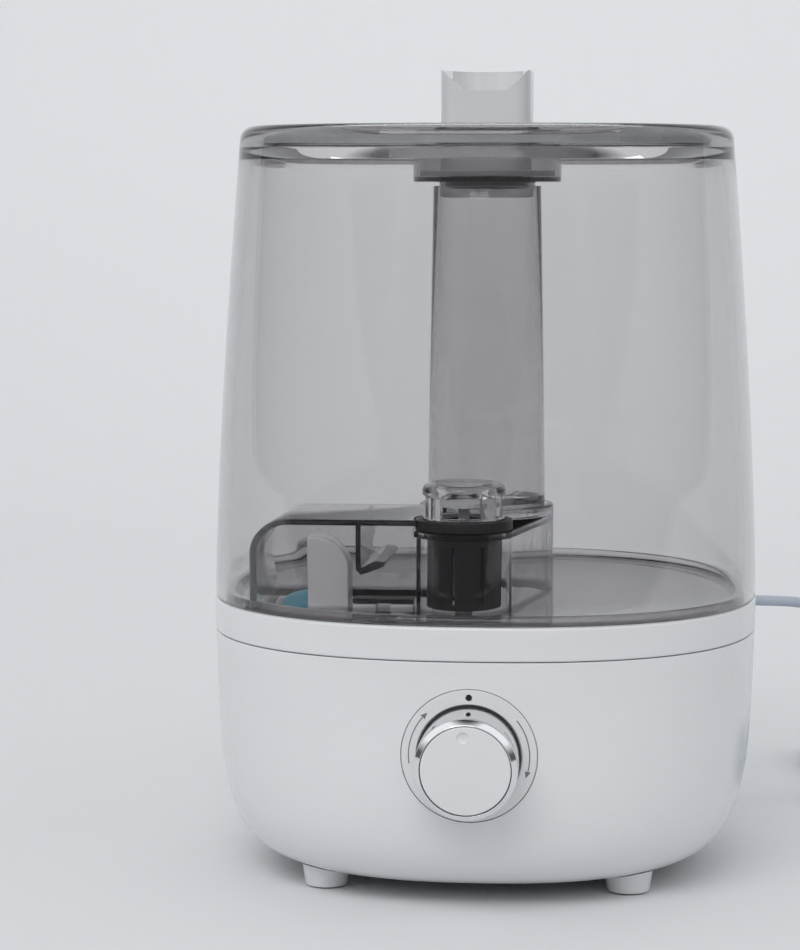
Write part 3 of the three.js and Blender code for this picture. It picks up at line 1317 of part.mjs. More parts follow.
const cordRoute = [
  [65.8, 120.2, 78],
  [67.5, 123.9, 77.9],
  [70.3, 128.4, 77.7],
  [74.1, 131.9, 77.5],
  [78.8, 134.3, 77.2],
  [84, 135.4, 76.9],
  [92, 135.6, 76.5],
  [102, 135.6, 76.1],
  [112.5, 135.6, 75.9],
  [118.5, 135.5, 75.6],
  [124.8, 135.3, 74.4],
  [130.5, 135.1, 71.2],
  [134.9, 134.9, 66],
  [137.5, 134.7, 59.8],
  [139.6, 134.5, 50.2],
  [141.7, 134.3, 40.4],
  [143.8, 134, 31.6],
  [146.6, 133.8, 25.8],
  [150.9, 133.6, 20.4],
  [156.6, 133.5, 17],
  [163, 133.5, 15.8],
];

const plugLeadRoute = [
  [134.6, 131.6, 2.3],
  [134.8, 138, 2.7],
  [135.3, 144, 4.6],
  [135.8, 148.3, 6.7],
  [136, 151, 7.45],
  [136, 153.7, 7.5],
];

const toVectors = (points) => points.map((point) => new THREE.Vector3(...point));

function strainRelief() {
  const collarLow = FIT_GAP + RELIEF_COLLAR_STANDOUT;
  const relief = lathe([
    [0, -RELIEF_NECK_LENGTH],
    [RELIEF_NECK_R, -RELIEF_NECK_LENGTH],
    [RELIEF_NECK_R, collarLow],
    [RELIEF_COLLAR_R, collarLow],
    [RELIEF_COLLAR_R, collarLow + RELIEF_COLLAR],
    [RELIEF_ROOT_R, collarLow + RELIEF_SHOULDER],
    [CORD_D / 2 + RELIEF_WALL, RELIEF_LENGTH],
    [0, RELIEF_LENGTH],
  ], SMALL_SEGMENTS);
  return atExit(relief);
}

function plugBody() {
  const front = PLUG_BACK_Y + PLUG_LENGTH;
  const neckEnd = PLUG_BACK_Y + PLUG_NECK;
  const shoulder = neckEnd + PLUG_SHOULDER;
  const neckHalf = CORD_D / 2 + PLUG_NECK_WALL;
  const flareHalf = neckHalf + PLUG_NECK_FLARE;
  const shape = polygon([
    [PLUG_X - neckHalf, PLUG_BACK_Y],
    [PLUG_X + neckHalf, PLUG_BACK_Y],
    [PLUG_X + flareHalf, neckEnd],
    [PLUG_X + PLUG_HALF_WIDTH, shoulder],
    [PLUG_X + PLUG_HALF_WIDTH, front],
    [PLUG_X - PLUG_HALF_WIDTH, front],
    [PLUG_X - PLUG_HALF_WIDTH, shoulder],
    [PLUG_X - flareHalf, neckEnd],
  ]);
  return prism(shape, 0, PLUG_THICKNESS);
}

function cordClip(band) {
  const height = 2 * band + CLIP_SLACK;
  const innerWest = COIL_R - band - CLIP_SLACK;
  const innerEast = COIL_R + band + CLIP_SLACK;
  const outerWest = innerWest - CLIP_WALL;
  const outerEast = innerEast + CLIP_WALL;
  const cutHalf = CLIP_HALF + OVERCUT;
  const outer = box(outerWest, outerEast, -CLIP_HALF, CLIP_HALF, 0, height + CLIP_WALL);
  const inner = box(innerWest, innerEast, -cutHalf, cutHalf, -OVERCUT, height);
  const turn = THREE.MathUtils.degToRad(CLIP_TURN);
  return cut(outer, inner).rotateZ(turn).translate(COIL_X, COIL_Y, 0);
}

function makeCord(group) {
  const cordR = CORD_D / 2;
  addMesh(group, "strain_relief", strainRelief(), CORD);
  const start = exitPoint.clone().addScaledVector(exitDirection, RELIEF_LENGTH + FIT_GAP);
  addMesh(group, "power_cord", tube([start, ...toVectors(cordRoute)], cordR, 24, 8), CORD);
  const band = (COIL_LAYERS * CORD_D) / 2;
  const coil = ring(COIL_R - band, COIL_R + band, 0, 2 * band, COIL_X, COIL_Y, BODY_SEGMENTS);
  addMesh(group, "cord_coil", coil, CORD);
  addMesh(group, "cord_clip", cordClip(band), SILICONE);
  addMesh(group, "plug_lead", tube(toVectors(plugLeadRoute), cordR, 5, 8), CORD);
  addMesh(group, "plug_body", plugBody(), CORD);
  const front = PLUG_BACK_Y + PLUG_LENGTH + FIT_GAP;
  const midZ = PLUG_THICKNESS / 2;
  [-1, 1].forEach((side, index) => {
    const x = PLUG_X + (side * BLADE_SPACING) / 2;
    const half = BLADE_THICKNESS / 2;
    const low = midZ - BLADE_WIDTH / 2;
    const blade = box(x - half, x + half, front, front + BLADE_LENGTH, low, low + BLADE_WIDTH);
    addMesh(group, `plug_blade_${index + 1}`, blade, METAL);
  });
}

// ---- Assembly ----

const base = new THREE.Group();
makeBase(base);
makeFloat(base);
makeDialParts(dialFrame);
makeKnob(dialFrame);
base.add(dialFrame);

const tank = new THREE.Group();
makeTank(tank);
makePlunger(tank);
makeLid(tank);
makeNozzle(tank);

const cord = new THREE.Group();
makeCord(cord);

// The origin is under the middle of the object's box, so everything moves back by half of what
// the knob stands out of the body.
const body = new THREE.Group();
body.add(base, tank);
const extent = new THREE.Box3().setFromObject(body);
const humidifier = new THREE.Group();
humidifier.name = "cool_mist_humidifier";
humidifier.add(body, cord);
humidifier.position.y = -(extent.min.y + extent.max.y) / 2;

export default humidifier;
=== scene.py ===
"""Cool mist humidifier: fine meshes, materials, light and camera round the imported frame."""

import math

import bmesh
import bpy
from mathutils import Matrix, Vector


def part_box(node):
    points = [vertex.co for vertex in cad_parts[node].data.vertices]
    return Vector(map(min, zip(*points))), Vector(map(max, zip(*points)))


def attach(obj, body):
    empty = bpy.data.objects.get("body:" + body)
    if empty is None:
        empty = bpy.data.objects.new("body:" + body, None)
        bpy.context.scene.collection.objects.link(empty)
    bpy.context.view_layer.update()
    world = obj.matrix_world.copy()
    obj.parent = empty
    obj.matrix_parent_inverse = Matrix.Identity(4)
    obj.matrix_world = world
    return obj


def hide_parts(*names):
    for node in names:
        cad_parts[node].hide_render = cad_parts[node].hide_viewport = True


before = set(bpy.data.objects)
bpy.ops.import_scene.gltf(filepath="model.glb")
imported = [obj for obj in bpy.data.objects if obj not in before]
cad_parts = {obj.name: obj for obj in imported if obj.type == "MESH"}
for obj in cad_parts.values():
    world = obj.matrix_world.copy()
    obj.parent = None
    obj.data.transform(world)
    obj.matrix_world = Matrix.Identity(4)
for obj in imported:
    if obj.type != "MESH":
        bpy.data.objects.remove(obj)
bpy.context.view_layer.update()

MM = 0.001
low_corner, high_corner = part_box("tank_shell")
AXIS_Y = (low_corner[1] + high_corner[1]) / 2
TO_ROW = Matrix.Translation((0, AXIS_Y, 0)) @ Matrix.Scale(MM, 4)

# ---- Camera ----

CAMERA_AZIMUTH = math.radians(5.1)
CAMERA_DISTANCE = 1.05
CAMERA_HEIGHT = 0.247
CAMERA_PITCH = math.radians(5.8)
CAMERA_SIDE = -0.0315

across = Vector((math.cos(CAMERA_AZIMUTH), math.sin(CAMERA_AZIMUTH), 0))
camera_data = bpy.data.cameras.new("camera")
camera_data.lens = 110
camera_data.sensor_width = 36
camera_data.clip_start = 0.05
camera_data.clip_end = 50
camera = bpy.data.objects.new("camera", camera_data)
bpy.context.collection.objects.link(camera)
camera.location = Vector((
    CAMERA_DISTANCE * math.sin(CAMERA_AZIMUTH),
    AXIS_Y - CAMERA_DISTANCE * math.cos(CAMERA_AZIMUTH),
    CAMERA_HEIGHT,
)) + CAMERA_SIDE * across
camera.rotation_euler = (math.pi / 2 - CAMERA_PITCH, 0, CAMERA_AZIMUTH)
bpy.context.scene.camera = camera

# ---- Sizes in millimetres, about the tank's axis ----

PLAN_POWER = 2.4
FIT = 0.3
BODY = 160
ROUND = 96
SMALL = 48
SHARP_ANGLE = math.radians(30)

BODY_HALF = 97.5
BOWL_HALF = 97.4
PARTING_Z = 87.4
BASE_TOP_Z = 99
FOOT_HEIGHT = 5.5
BASE_WALL = 3
BOWL_UNDERSIDE_R = 60
BOWL_DRAFT = 1.9
BOWL_SIDE_REACH = 58.3
BOWL_CORNER_PULL = 1.1
COVER_SEAT_R = 56
COVER_SEAT_Z = 7.5
COVER_LEDGE_R = 50
COVER_LEDGE_Z = 10
COVER_SCREWS = (39.7, 39.7)
HOUSING_SCREWS = (64, 24)
FOOT_PLACES = (53, 51)
SCREW_HOLE_R = 1.8
SCREW_HEAD_HOLE_R = 3.3
DRILL = 12
DRILL_TOP_Z = 32
RING_INSIDE_R = 93.6
BAND_LOW_Z = 87.7
LAP_LOW_Z = 82.8
LAP_WALL = 2.4
DECK_TOP_Z = 96.4
DECK_LOW_Z = 94
BASIN_LOW_Z = 78
BASIN_INSIDE_Z = 80.4
BASIN_WALL = 2.2
WELL_CUT_Z = 148
DUCT_WEST = -58.5
DUCT_EAST = -44.5
DUCT_SOUTH = -54.5
DUCT_NORTH = -40.5
DUCT_TOP_Z = 123.6
DUCT_EDGE_R = 11
DUCT_WALL = 2
TANK_LOW_Z = 99.3
TANK_TOP_Z = 266
SHOULDER_Z = 261
SHOULDER_R = 5
TANK_WALL = 4
TANK_TAPER = 9.4
TANK_TAPER_POWER = 1.45
INNER_LOW_Z = 100.3
INNER_TOP_Z = 254
TANK_FLOOR_LOW_Z = 96.9
TANK_FLOOR_Z = 99.4
POCKET_ROOF_Z = 130.5
POCKET_WALL = 2.2
POCKET_WEST = -77
POCKET_SOUTH = -59.5
POCKET_NORTH = -8.5
POCKET_EDGE_R = 12
CHAMBER_R = 24.5
VALVE_ROOF_Z = 126.7
VALVE = (-4.7, -52)
VALVE_POCKET_R = 17.5
FLOAT = (-60.6, -26)
FLOAT_R = 12
FLOAT_LOW_Z = 89
FLOAT_DOME_Z = 95
FLOAT_DOME = 6.5
DIAL_Z = 55.5
DIAL_TILT = math.radians(4)
DIAL_INSIDE_R = 17.7
DIAL_R = 22.8
LENS_FROM_CENTRE = 20.1
MARK_R = 20.3
MARK_HALF = 0.2
MARK_SUNK = 0.03
MARK_PROUD = 0.05
KNOB_LENGTH = 18.4


def plan_reach(angle):
    total = abs(math.cos(angle)) ** PLAN_POWER + abs(math.sin(angle)) ** PLAN_POWER
    return total ** (-1 / PLAN_POWER)


def bezier(a, b, c, d, steps):
    points = []
    for i in range(steps + 1):
        t = i / steps
        s = 1 - t
        weights = (s ** 3, 3 * s * s * t, 3 * s * t * t, t ** 3)
        points.append(tuple(sum(w * p[k] for w, p in zip(weights, (a, b, c, d))) for k in (0, 1)))
    return points


def bowl_curve(inset, steps=30):
    return bezier(
        (BOWL_HALF - inset, PARTING_Z),
        (BOWL_HALF - BOWL_DRAFT - inset, PARTING_Z - BOWL_SIDE_REACH),
        (BOWL_HALF - BOWL_CORNER_PULL - inset, FOOT_HEIGHT + inset),
        (BOWL_UNDERSIDE_R, FOOT_HEIGHT + inset),
        steps,
    )


def tank_half(z):
    share = max(0, (z - BASE_TOP_Z) / (SHOULDER_Z - BASE_TOP_Z))
    return BOWL_HALF - TANK_TAPER * share ** TANK_TAPER_POWER


def arc(cx, cy, radius, start, end, steps):
    points = []
    for i in range(steps + 1):
        angle = math.radians(start + (end - start) * i / steps)
        points.append((cx + radius * math.cos(angle), cy + radius * math.sin(angle)))
    return points


def rounded(points, radius, closed=True, steps=4):
    """The outline with each real corner turned into a small curve."""
    result = []
    count = len(points)
    for i, point in enumerate(points):
        corner = Vector(point)
        if not closed and i in (0, count - 1):
            result.append(tuple(corner))
            continue
        back = Vector(points[i - 1]) - corner
        ahead = Vector(points[(i + 1) % count]) - corner
        turn = math.pi - back.angle(ahead)
        if turn < math.radians(20):
            result.append(tuple(corner))
            continue
        reach = min(radius * math.tan(turn / 2), 0.45 * back.length, 0.45 * ahead.length)
        start = corner + back.normalized() * reach
        end = corner + ahead.normalized() * reach
        for k in range(steps + 1):
            t = k / steps
            result.append(tuple((1 - t) ** 2 * start + 2 * t * (1 - t) * corner + t * t * end))
    return result


# ---- Solids, in millimetres ----


def make_object(name, verts, faces):
    mesh = bpy.data.meshes.new(name)
    mesh.from_pydata([tuple(v) for v in verts], [], faces)
    work = bmesh.new()
    work.from_mesh(mesh)
    bmesh.ops.remove_doubles(work, verts=work.verts, dist=1e-4)
    bmesh.ops.recalc_face_normals(work, faces=work.faces)
    work.to_mesh(mesh)
    work.free()
    made = bpy.data.objects.new(name, mesh)
    bpy.context.collection.objects.link(made)
    return made


def lathe(profile, segments=ROUND, plan=False, x=0, y=0):
    closed = profile[0][0] != 0
    count = len(profile)
    verts = []
    faces = []
    for s in range(segments):
        angle = 2 * math.pi * s / segments
        reach = plan_reach(angle) if plan else 1
        for radius, z in profile:
            verts.append((
                x + radius * reach * math.cos(angle),
                y + radius * reach * math.sin(angle),
                z,
            ))
    for s in range(segments):
        t = (s + 1) % segments
        for i in range(count if closed else count - 1):
            j = (i + 1) % count
            faces.append((s * count + i, t * count + i, t * count + j, s * count + j))
    return make_object("lathe", verts, faces)


def cylinder(radius, low, high, x=0, y=0, segments=SMALL, edge=0):
    profile = [(0, low), (radius, low), (radius, high), (0, high)]
    if edge:
        profile = rounded(profile, edge, closed=False)
    return lathe(profile, segments, x=x, y=y)


def prism(outline, low, high):
    count = len(outline)
    verts = [(px, py, low) for px, py in outline] + [(px, py, high) for px, py in outline]
    faces = [tuple(range(count)), tuple(range(count, 2 * count))]
    faces += [(i, (i + 1) % count, count + (i + 1) % count, count + i) for i in range(count)]
    return make_object("prism", verts, faces)


def slab(outline, south, north):
    """An outline in X and Z, from south to north along Y."""
    made = prism(outline, south, north)
    for vert in made.data.vertices:
        px, pz, py = vert.co
        vert.co = (px, py, pz)
    outward(made)
    return made


def outward(made):
    work = bmesh.new()
    work.from_mesh(made.data)
    bmesh.ops.recalc_face_normals(work, faces=work.faces)
    work.to_mesh(made.data)
    work.free()


def block(x0, x1, y0, y1, z0, z1):
    return prism([(x0, y0), (x1, y0), (x1, y1), (x0, y1)], z0, z1)


def apply_modifiers(made):
    graph = bpy.context.evaluated_depsgraph_get()
    mesh = bpy.data.meshes.new_from_object(made.evaluated_get(graph))
    made.modifiers.clear()
    made.data = mesh
    return made


def soften(made, width, segments=3, angle=30):
    bevel = made.modifiers.new("soft edges", "BEVEL")
    bevel.width = width
    bevel.segments = segments
    bevel.limit_method = "ANGLE"
    bevel.angle_limit = math.radians(angle)
    return apply_modifiers(made)


def combine(made, operation, others):
    for other in others:
        modifier = made.modifiers.new(operation, "BOOLEAN")
        modifier.operation = operation
        modifier.object = other
        modifier.solver = "EXACT"
    apply_modifiers(made)
    for other in others:
        bpy.data.objects.remove(other)
    return made


def join(made, *others):
    return combine(made, "UNION", others)


def cut(made, *others):
    return combine(made, "DIFFERENCE", others)


def common(made, *others):
    return combine(made, "INTERSECT", others)


def moved(made, matrix):
    made.data.transform(matrix)
    return made


def turned(made, degrees):
    return moved(made, Matrix.Rotation(math.radians(degrees), 4, "Z"))


def corners(x, y):
    return [(-x, -y), (x, -y), (x, y), (-x, y)]


def show(made, name, body, material, nodes):
    """Moves a finished solid to the row's frame, and gives it its body, material and place."""
    made.name = name
    made.data.name = name
    made.data.transform(TO_ROW)
    made.data.polygons.foreach_set("use_smooth", [True] * len(made.data.polygons))
    made.data.set_sharp_from_angle(angle=SHARP_ANGLE)
    made.data.materials.clear()
    made.data.materials.append(material)
    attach(made, body)
    if nodes:
        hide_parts(*nodes)
    return made


# ---- Materials ----


def surface(
    name,
    dark,
    light,
    roughness,
    metallic=0.0,
    grain=40.0,
    bump=0.0,
    bump_scale=400.0,
    coat=0.0,
    transmission=0.0,
):
    """A procedural surface: colour and roughness drift a little, with an optional fine bump."""
    material = bpy.data.materials.new(name)
    material.use_nodes = True
    nodes = material.node_tree.nodes
    links = material.node_tree.links
    shader = nodes["Principled BSDF"]
    shader.inputs["Metallic"].default_value = metallic
    shader.inputs["IOR"].default_value = 1.5
    shader.inputs["Coat Weight"].default_value = coat
    shader.inputs["Coat Roughness"].default_value = 0.06
    shader.inputs["Transmission Weight"].default_value = transmission
    place = nodes.new("ShaderNodeTexCoord")
    drift = nodes.new("ShaderNodeTexNoise")
    drift.inputs["Scale"].default_value = grain
    drift.inputs["Detail"].default_value = 3
    links.new(place.outputs["Object"], drift.inputs["Vector"])
    colours = nodes.new("ShaderNodeValToRGB")
    colours.color_ramp.elements[0].position = 0.3
    colours.color_ramp.elements[0].color = (*dark, 1)
    colours.color_ramp.elements[1].position = 0.7
    colours.color_ramp.elements[1].color = (*light, 1)
    links.new(drift.outputs["Fac"], colours.inputs["Fac"])
    links.new(colours.outputs["Color"], shader.inputs["Base Color"])
    rough = nodes.new("ShaderNodeMapRange")
    rough.inputs["From Min"].default_value = 0.3
    rough.inputs["From Max"].default_value = 0.7
    rough.inputs["To Min"].default_value = roughness[0]
    rough.inputs["To Max"].default_value = roughness[1]
    links.new(drift.outputs["Fac"], rough.inputs["Value"])
    links.new(rough.outputs["Result"], shader.inputs["Roughness"])
    if bump:
        fine = nodes.new("ShaderNodeTexNoise")
        fine.inputs["Scale"].default_value = bump_scale
        fine.inputs["Detail"].default_value = 2
        links.new(place.outputs["Object"], fine.inputs["Vector"])
        relief = nodes.new("ShaderNodeBump")
        relief.inputs["Strength"].default_value = bump
        relief.inputs["Distance"].default_value = 0.0002
        links.new(fine.outputs["Fac"], relief.inputs["Height"])
        links.new(relief.outputs["Normal"], shader.inputs["Normal"])
    return material


def clear_surface(name, dark, light, roughness, shade, density):
    """A see-through plastic that darkens with depth and lets light through to what stands behind."""
    material = surface(name, dark, light, roughness, grain=12, transmission=1.0)
    nodes = material.node_tree.nodes
    links = material.node_tree.links
    shader = nodes["Principled BSDF"]
    output = nodes["Material Output"]
    veil = nodes.new("ShaderNodeBsdfTransparent")
    veil.inputs["Color"].default_value = (*shade, 1)
    path = nodes.new("ShaderNodeLightPath")
    mix = nodes.new("ShaderNodeMixShader")
    links.new(path.outputs["Is Shadow Ray"], mix.inputs["Fac"])
    links.new(shader.outputs["BSDF"], mix.inputs[1])
    links.new(veil.outputs["BSDF"], mix.inputs[2])
    links.new(mix.outputs["Shader"], output.inputs["Surface"])
    depth = nodes.new("ShaderNodeVolumeAbsorption")
    depth.inputs["Color"].default_value = (0.04, 0.02, 0.03, 1)
    depth.inputs["Density"].default_value = density
    links.new(depth.outputs["Volume"], output.inputs["Volume"])
    return material


def paint_shade_below(material, level, colour, spread):
    """Paints shade below a height in the piece's own frame: the material's colour gives way to a shade
    colour.
    """
    nodes = material.node_tree.nodes
    links = material.node_tree.links
    tint = nodes["Principled BSDF"].inputs["Base Color"]
    drift = tint.links[0].from_socket
    place = nodes.new("ShaderNodeTexCoord")
    axes = nodes.new("ShaderNodeSeparateXYZ")
    links.new(place.outputs["Object"], axes.inputs["Vector"])
    share = nodes.new("ShaderNodeMapRange")
    share.inputs["From Min"].default_value = level + spread / 2
    share.inputs["From Max"].default_value = level - spread / 2
    links.new(axes.outputs["Z"], share.inputs["Value"])
    shade_blend = nodes.new("ShaderNodeMixRGB")
    shade_blend.inputs["Color2"].default_value = (*colour, 1)
    links.new(share.outputs["Result"], shade_blend.inputs["Fac"])
    links.new(drift, shade_blend.inputs["Color1"])
    links.new(shade_blend.outputs["Color"], tint)


WHITE = surface(
    "white gloss",
    (0.765, 0.77, 0.785),
    (0.79, 0.795, 0.805),
    (0.2, 0.26),
    grain=9,
    coat=0.25,
)
WHITE_PLATE = surface(
    "white satin",
    (0.74, 0.742, 0.75),
    (0.77, 0.77, 0.775),
    (0.3, 0.36),
    grain=30,
)
SMOKE = clear_surface(
    "smoked plastic",
    (0.985, 0.98, 0.985),
    (0.995, 0.99, 0.995),
    (0.01, 0.02),
    (0.98, 0.98, 0.98),
    33,
)
FLOOR_SMOKE = clear_surface(
    "smoked floor",
    (0.95, 0.945, 0.95),
    (0.97, 0.965, 0.97),
    (0.01, 0.02),
    (0.95, 0.95, 0.95),
    62,
)
# Painted shade: below 100.5 mm the smoked floor plate turns dark grey, standing in for the shade down
# in the base ring under it.
paint_shade_below(FLOOR_SMOKE, 0.1005, (0.5, 0.49, 0.5), spread=0.001)
TUBE_SMOKE = clear_surface(
    "smoked tube",
    (0.985, 0.98, 0.985),
    (0.995, 0.99, 0.995),
    (0.02, 0.03),
    (0.98, 0.98, 0.98),
    96,
)
LID_SMOKE = clear_surface(
    "smoked lid",
    (0.84, 0.83, 0.84),
    (0.88, 0.87, 0.88),
    (0.01, 0.02),
    (0.9, 0.9, 0.9),
    190,
)
CLEAR = clear_surface(
    "tinted cap",
    (0.93, 0.925, 0.93),
    (0.95, 0.945, 0.95),
    (0.02, 0.03),
    (0.97, 0.97, 0.97),
    60,
)
BLACK = surface(
    "black plastic",
    (0.002, 0.002, 0.0025),
    (0.005, 0.005, 0.0055),
    (0.45, 0.55),
    grain=60,
)
MARK = surface("dial print", (0.16, 0.165, 0.175), (0.2, 0.205, 0.215), (0.4, 0.5), grain=60)
RUBBER = surface(
    "black rubber",
    (0.012, 0.012, 0.012),
    (0.022, 0.022, 0.022),
    (0.65, 0.8),
    grain=80,
    bump=0.2,
)
TEAL = surface("teal plastic", (0.002, 0.23, 0.32), (0.006, 0.27, 0.36), (0.3, 0.38), grain=50)
CHROME = surface(
    "bright plating",
    (0.8, 0.81, 0.82),
    (0.86, 0.87, 0.875),
    (0.05, 0.09),
    metallic=1.0,
    grain=30,
)
STEEL = surface(
    "steel",
    (0.46, 0.455, 0.44),
    (0.58, 0.575, 0.56),
    (0.25, 0.42),
    metallic=1.0,
    grain=120,
)
ALUMINIUM = surface(
    "aluminium",
    (0.58, 0.59, 0.6),
    (0.68, 0.69, 0.7),
    (0.34, 0.46),
    metallic=1.0,
    grain=90,
)
BRASS = surface(
    "brass",
    (0.5, 0.34, 0.12),
    (0.62, 0.45, 0.18),
    (0.22, 0.34),
    metallic=1.0,
    grain=90,
)
BOARD = surface("circuit board", (0.01, 0.085, 0.035), (0.016, 0.12, 0.05), (0.35, 0.5), grain=220)
FOAM = surface(
    "open foam",
    (0.02, 0.022, 0.024),
    (0.06, 0.064, 0.07),
    (0.85, 0.98),
    grain=500,
    bump=0.9,
    bump_scale=900,
)
SILICONE = surface("silicone", (0.42, 0.44, 0.45), (0.5, 0.52, 0.53), (0.45, 0.58), grain=60)
CORD = surface("cord sheath", (0.44, 0.49, 0.57), (0.49, 0.54, 0.62), (0.34, 0.44), grain=70)

# ---- Cord ----

CORD_D = 0.0043
CORD_ROUTE = [
    (0.0658, 0.1202, 0.078),
    (0.0675, 0.1239, 0.0779),
    (0.0703, 0.1284, 0.0777),
    (0.0741, 0.1319, 0.0775),
    (0.0788, 0.1343, 0.0772),
    (0.084, 0.1354, 0.0769),
    (0.092, 0.1356, 0.0765),
    (0.102, 0.1356, 0.0761),
    (0.1125, 0.1356, 0.0759),
    (0.1185, 0.1355, 0.0756),
    (0.1248, 0.1353, 0.0744),
    (0.1305, 0.1351, 0.0712),
    (0.1349, 0.1349, 0.066),
    (0.1375, 0.1347, 0.0598),
    (0.1396, 0.1345, 0.0502),
    (0.1417, 0.1343, 0.0404),
    (0.1438, 0.134, 0.0316),
    (0.1466, 0.1338, 0.0258),
    (0.1509, 0.1336, 0.0204),
    (0.1566, 0.1335, 0.017),
]
PLUG_LEAD = [
    (0.1346, 0.1316, 0.0023),
    (0.1348, 0.138, 0.0027),
    (0.1353, 0.144, 0.0046),
    (0.1358, 0.1483, 0.0067),
    (0.136, 0.151, 0.00745),
    (0.136, 0.1537, 0.0075),
]
COIL_CENTRE = (0.163, 0.114)
COIL_R = 0.024
COIL_PITCH = 0.00445
COIL_TURN = 3150
COIL_STEP = 15
LANE_SHIFTS = [(360, 1), (720, 1), (1345, -1), (1705, -1), (2330, 1), (2690, 1)]
LANE_SHIFT_WIDTH = 95
LAYER_DROPS = [45, 1030, 2015]
LAYER_DROP_WIDTH = 65

EXIT_ANGLE = math.radians(60)
exit_reach = BOWL_HALF * plan_reach(EXIT_ANGLE)
exit_point = Vector((exit_reach * math.cos(EXIT_ANGLE), exit_reach * math.sin(EXIT_ANGLE), 78))
exit_direction = Vector((math.cos(EXIT_ANGLE) ** 1.4, math.sin(EXIT_ANGLE) ** 1.4, 0)).normalized()


def smooth_share(value, start, width):
    share = min(1, max(0, (value - start) / width))
    return share * share * (3 - 2 * share)


def coil_point(angle):
    lane = sum(way * smooth_share(angle, start, LANE_SHIFT_WIDTH) for start, way in LANE_SHIFTS)
    layer = 3 - sum(smooth_share(angle, start, LAYER_DROP_WIDTH) for start in LAYER_DROPS)
    radius = COIL_R + (lane - 1) * COIL_PITCH
    turn = math.radians(angle)
    return (
        COIL_CENTRE[0] + radius * math.sin(turn),
        COIL_CENTRE[1] + radius * math.cos(turn),
        CORD_D / 2 + layer * COIL_PITCH,
    )


def through(points, steps=4):
    """A smooth line through points, as a centripetal Catmull-Rom curve sampled between them."""
    points = [Vector(p) for p in points]
    points = [2 * points[0] - points[1], *points, 2 * points[-1] - points[-2]]
    line = []
    for a, b, c, d in zip(points, points[1:], points[2:], points[3:]):
        t1 = (b - a).length ** 0.5
        t2 = t1 + (c - b).length ** 0.5
        t3 = t2 + (d - c).length ** 0.5
        for k in range(steps):
            t = t1 + (t2 - t1) * k / steps
            ab = a.lerp(b, t / t1)
            bc = b.lerp(c, (t - t1) / (t2 - t1))
            cd = c.lerp(d, (t - t2) / (t3 - t2))
            abc = ab.lerp(bc, t / t2)
            bcd = bc.lerp(cd, (t - t1) / (t3 - t1))
            line.append(abc.lerp(bcd, (t - t1) / (t2 - t1)))
    line.append(points[-2])
    return line


RELIEF_LENGTH = 30
RELIEF_START = 3.4
RELIEF_RIBS = 7
RELIEF_ROOT_R = 4.4
RELIEF_TAPER = 1.5
RIB_DEPTH = 0.55

relief_end = exit_point + exit_direction * (RELIEF_LENGTH + FIT)
cord_start = TO_ROW @ relief_end
coil = [coil_point(angle) for angle in range(0, COIL_TURN + 1, COIL_STEP)]
route = [(px, py + AXIS_Y, pz) for px, py, pz in [*CORD_ROUTE, *coil, *PLUG_LEAD]]
cord_line = through([cord_start, *route])

cord_curve = bpy.data.curves.new("power_cord_curve", "CURVE")
cord_curve.dimensions = "3D"
cord_curve.bevel_depth = CORD_D / 2
cord_curve.bevel_resolution = 5
cord_curve.use_fill_caps = True
spline = cord_curve.splines.new("POLY")
spline.points.add(len(cord_line) - 1)
for point, place in zip(spline.points, cord_line):
    point.co = (*place, 1)
spline.use_smooth = True
cord = bpy.data.objects.new("cord", cord_curve)
bpy.context.collection.objects.link(cord)
cord_curve.materials.append(CORD)
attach(cord, "base")
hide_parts("power_cord", "cord_coil", "plug_lead")


def at_exit(made):
    turn = Vector((0, 0, 1)).rotation_difference(exit_direction).to_matrix().to_4x4()
    return moved(made, Matrix.Translation(exit_point) @ turn)


relief_profile = [(0, -7), (3.4, -7), (3.4, 0.8), (5.6, 0.8), (5.6, 2.8)]
relief_run = RELIEF_LENGTH - RELIEF_START
step = relief_run / RELIEF_RIBS
for rib in range(RELIEF_RIBS):
    along = RELIEF_START + relief_run * rib / RELIEF_RIBS
    outer = RELIEF_ROOT_R - RELIEF_TAPER * (along - RELIEF_START) / relief_run
    relief_profile += [(outer - RIB_DEPTH, along), (outer, along + 0.25 * step)]
    relief_profile += [(outer - 0.06, along + 0.75 * step), (outer - RIB_DEPTH, along + 0.98 * step)]
relief_profile += [(2.75, RELIEF_LENGTH), (0, RELIEF_LENGTH)]
relief = at_exit(lathe(rounded(relief_profile, 0.35, closed=False, steps=3), SMALL))
show(relief, "cord_strain_relief", "base", CORD, ["strain_relief"])

PLUG_X = 136
PLUG_BACK = 154.3
PLUG_FRONT = PLUG_BACK + 34
PLUG_HALF = 12
PLUG_THICKNESS = 15
NECK_HALF = 3.8
NECK_FLARE = 4.8
NECK_END = PLUG_BACK + 10
SHOULDER = PLUG_BACK + 18
plug_outline = [
    (PLUG_X - NECK_HALF, PLUG_BACK),
    (PLUG_X + NECK_HALF, PLUG_BACK),
    (PLUG_X + NECK_FLARE, NECK_END),
    (PLUG_X + PLUG_HALF, SHOULDER),
    (PLUG_X + PLUG_HALF, PLUG_FRONT),
    (PLUG_X - PLUG_HALF, PLUG_FRONT),
    (PLUG_X - PLUG_HALF, SHOULDER),
    (PLUG_X - NECK_FLARE, NECK_END),
]
plug = soften(prism(rounded(plug_outline, 3.5, steps=6), 0, PLUG_THICKNESS), 2.2, 4)
show(plug, "plug", "base", CORD, ["plug_body"])

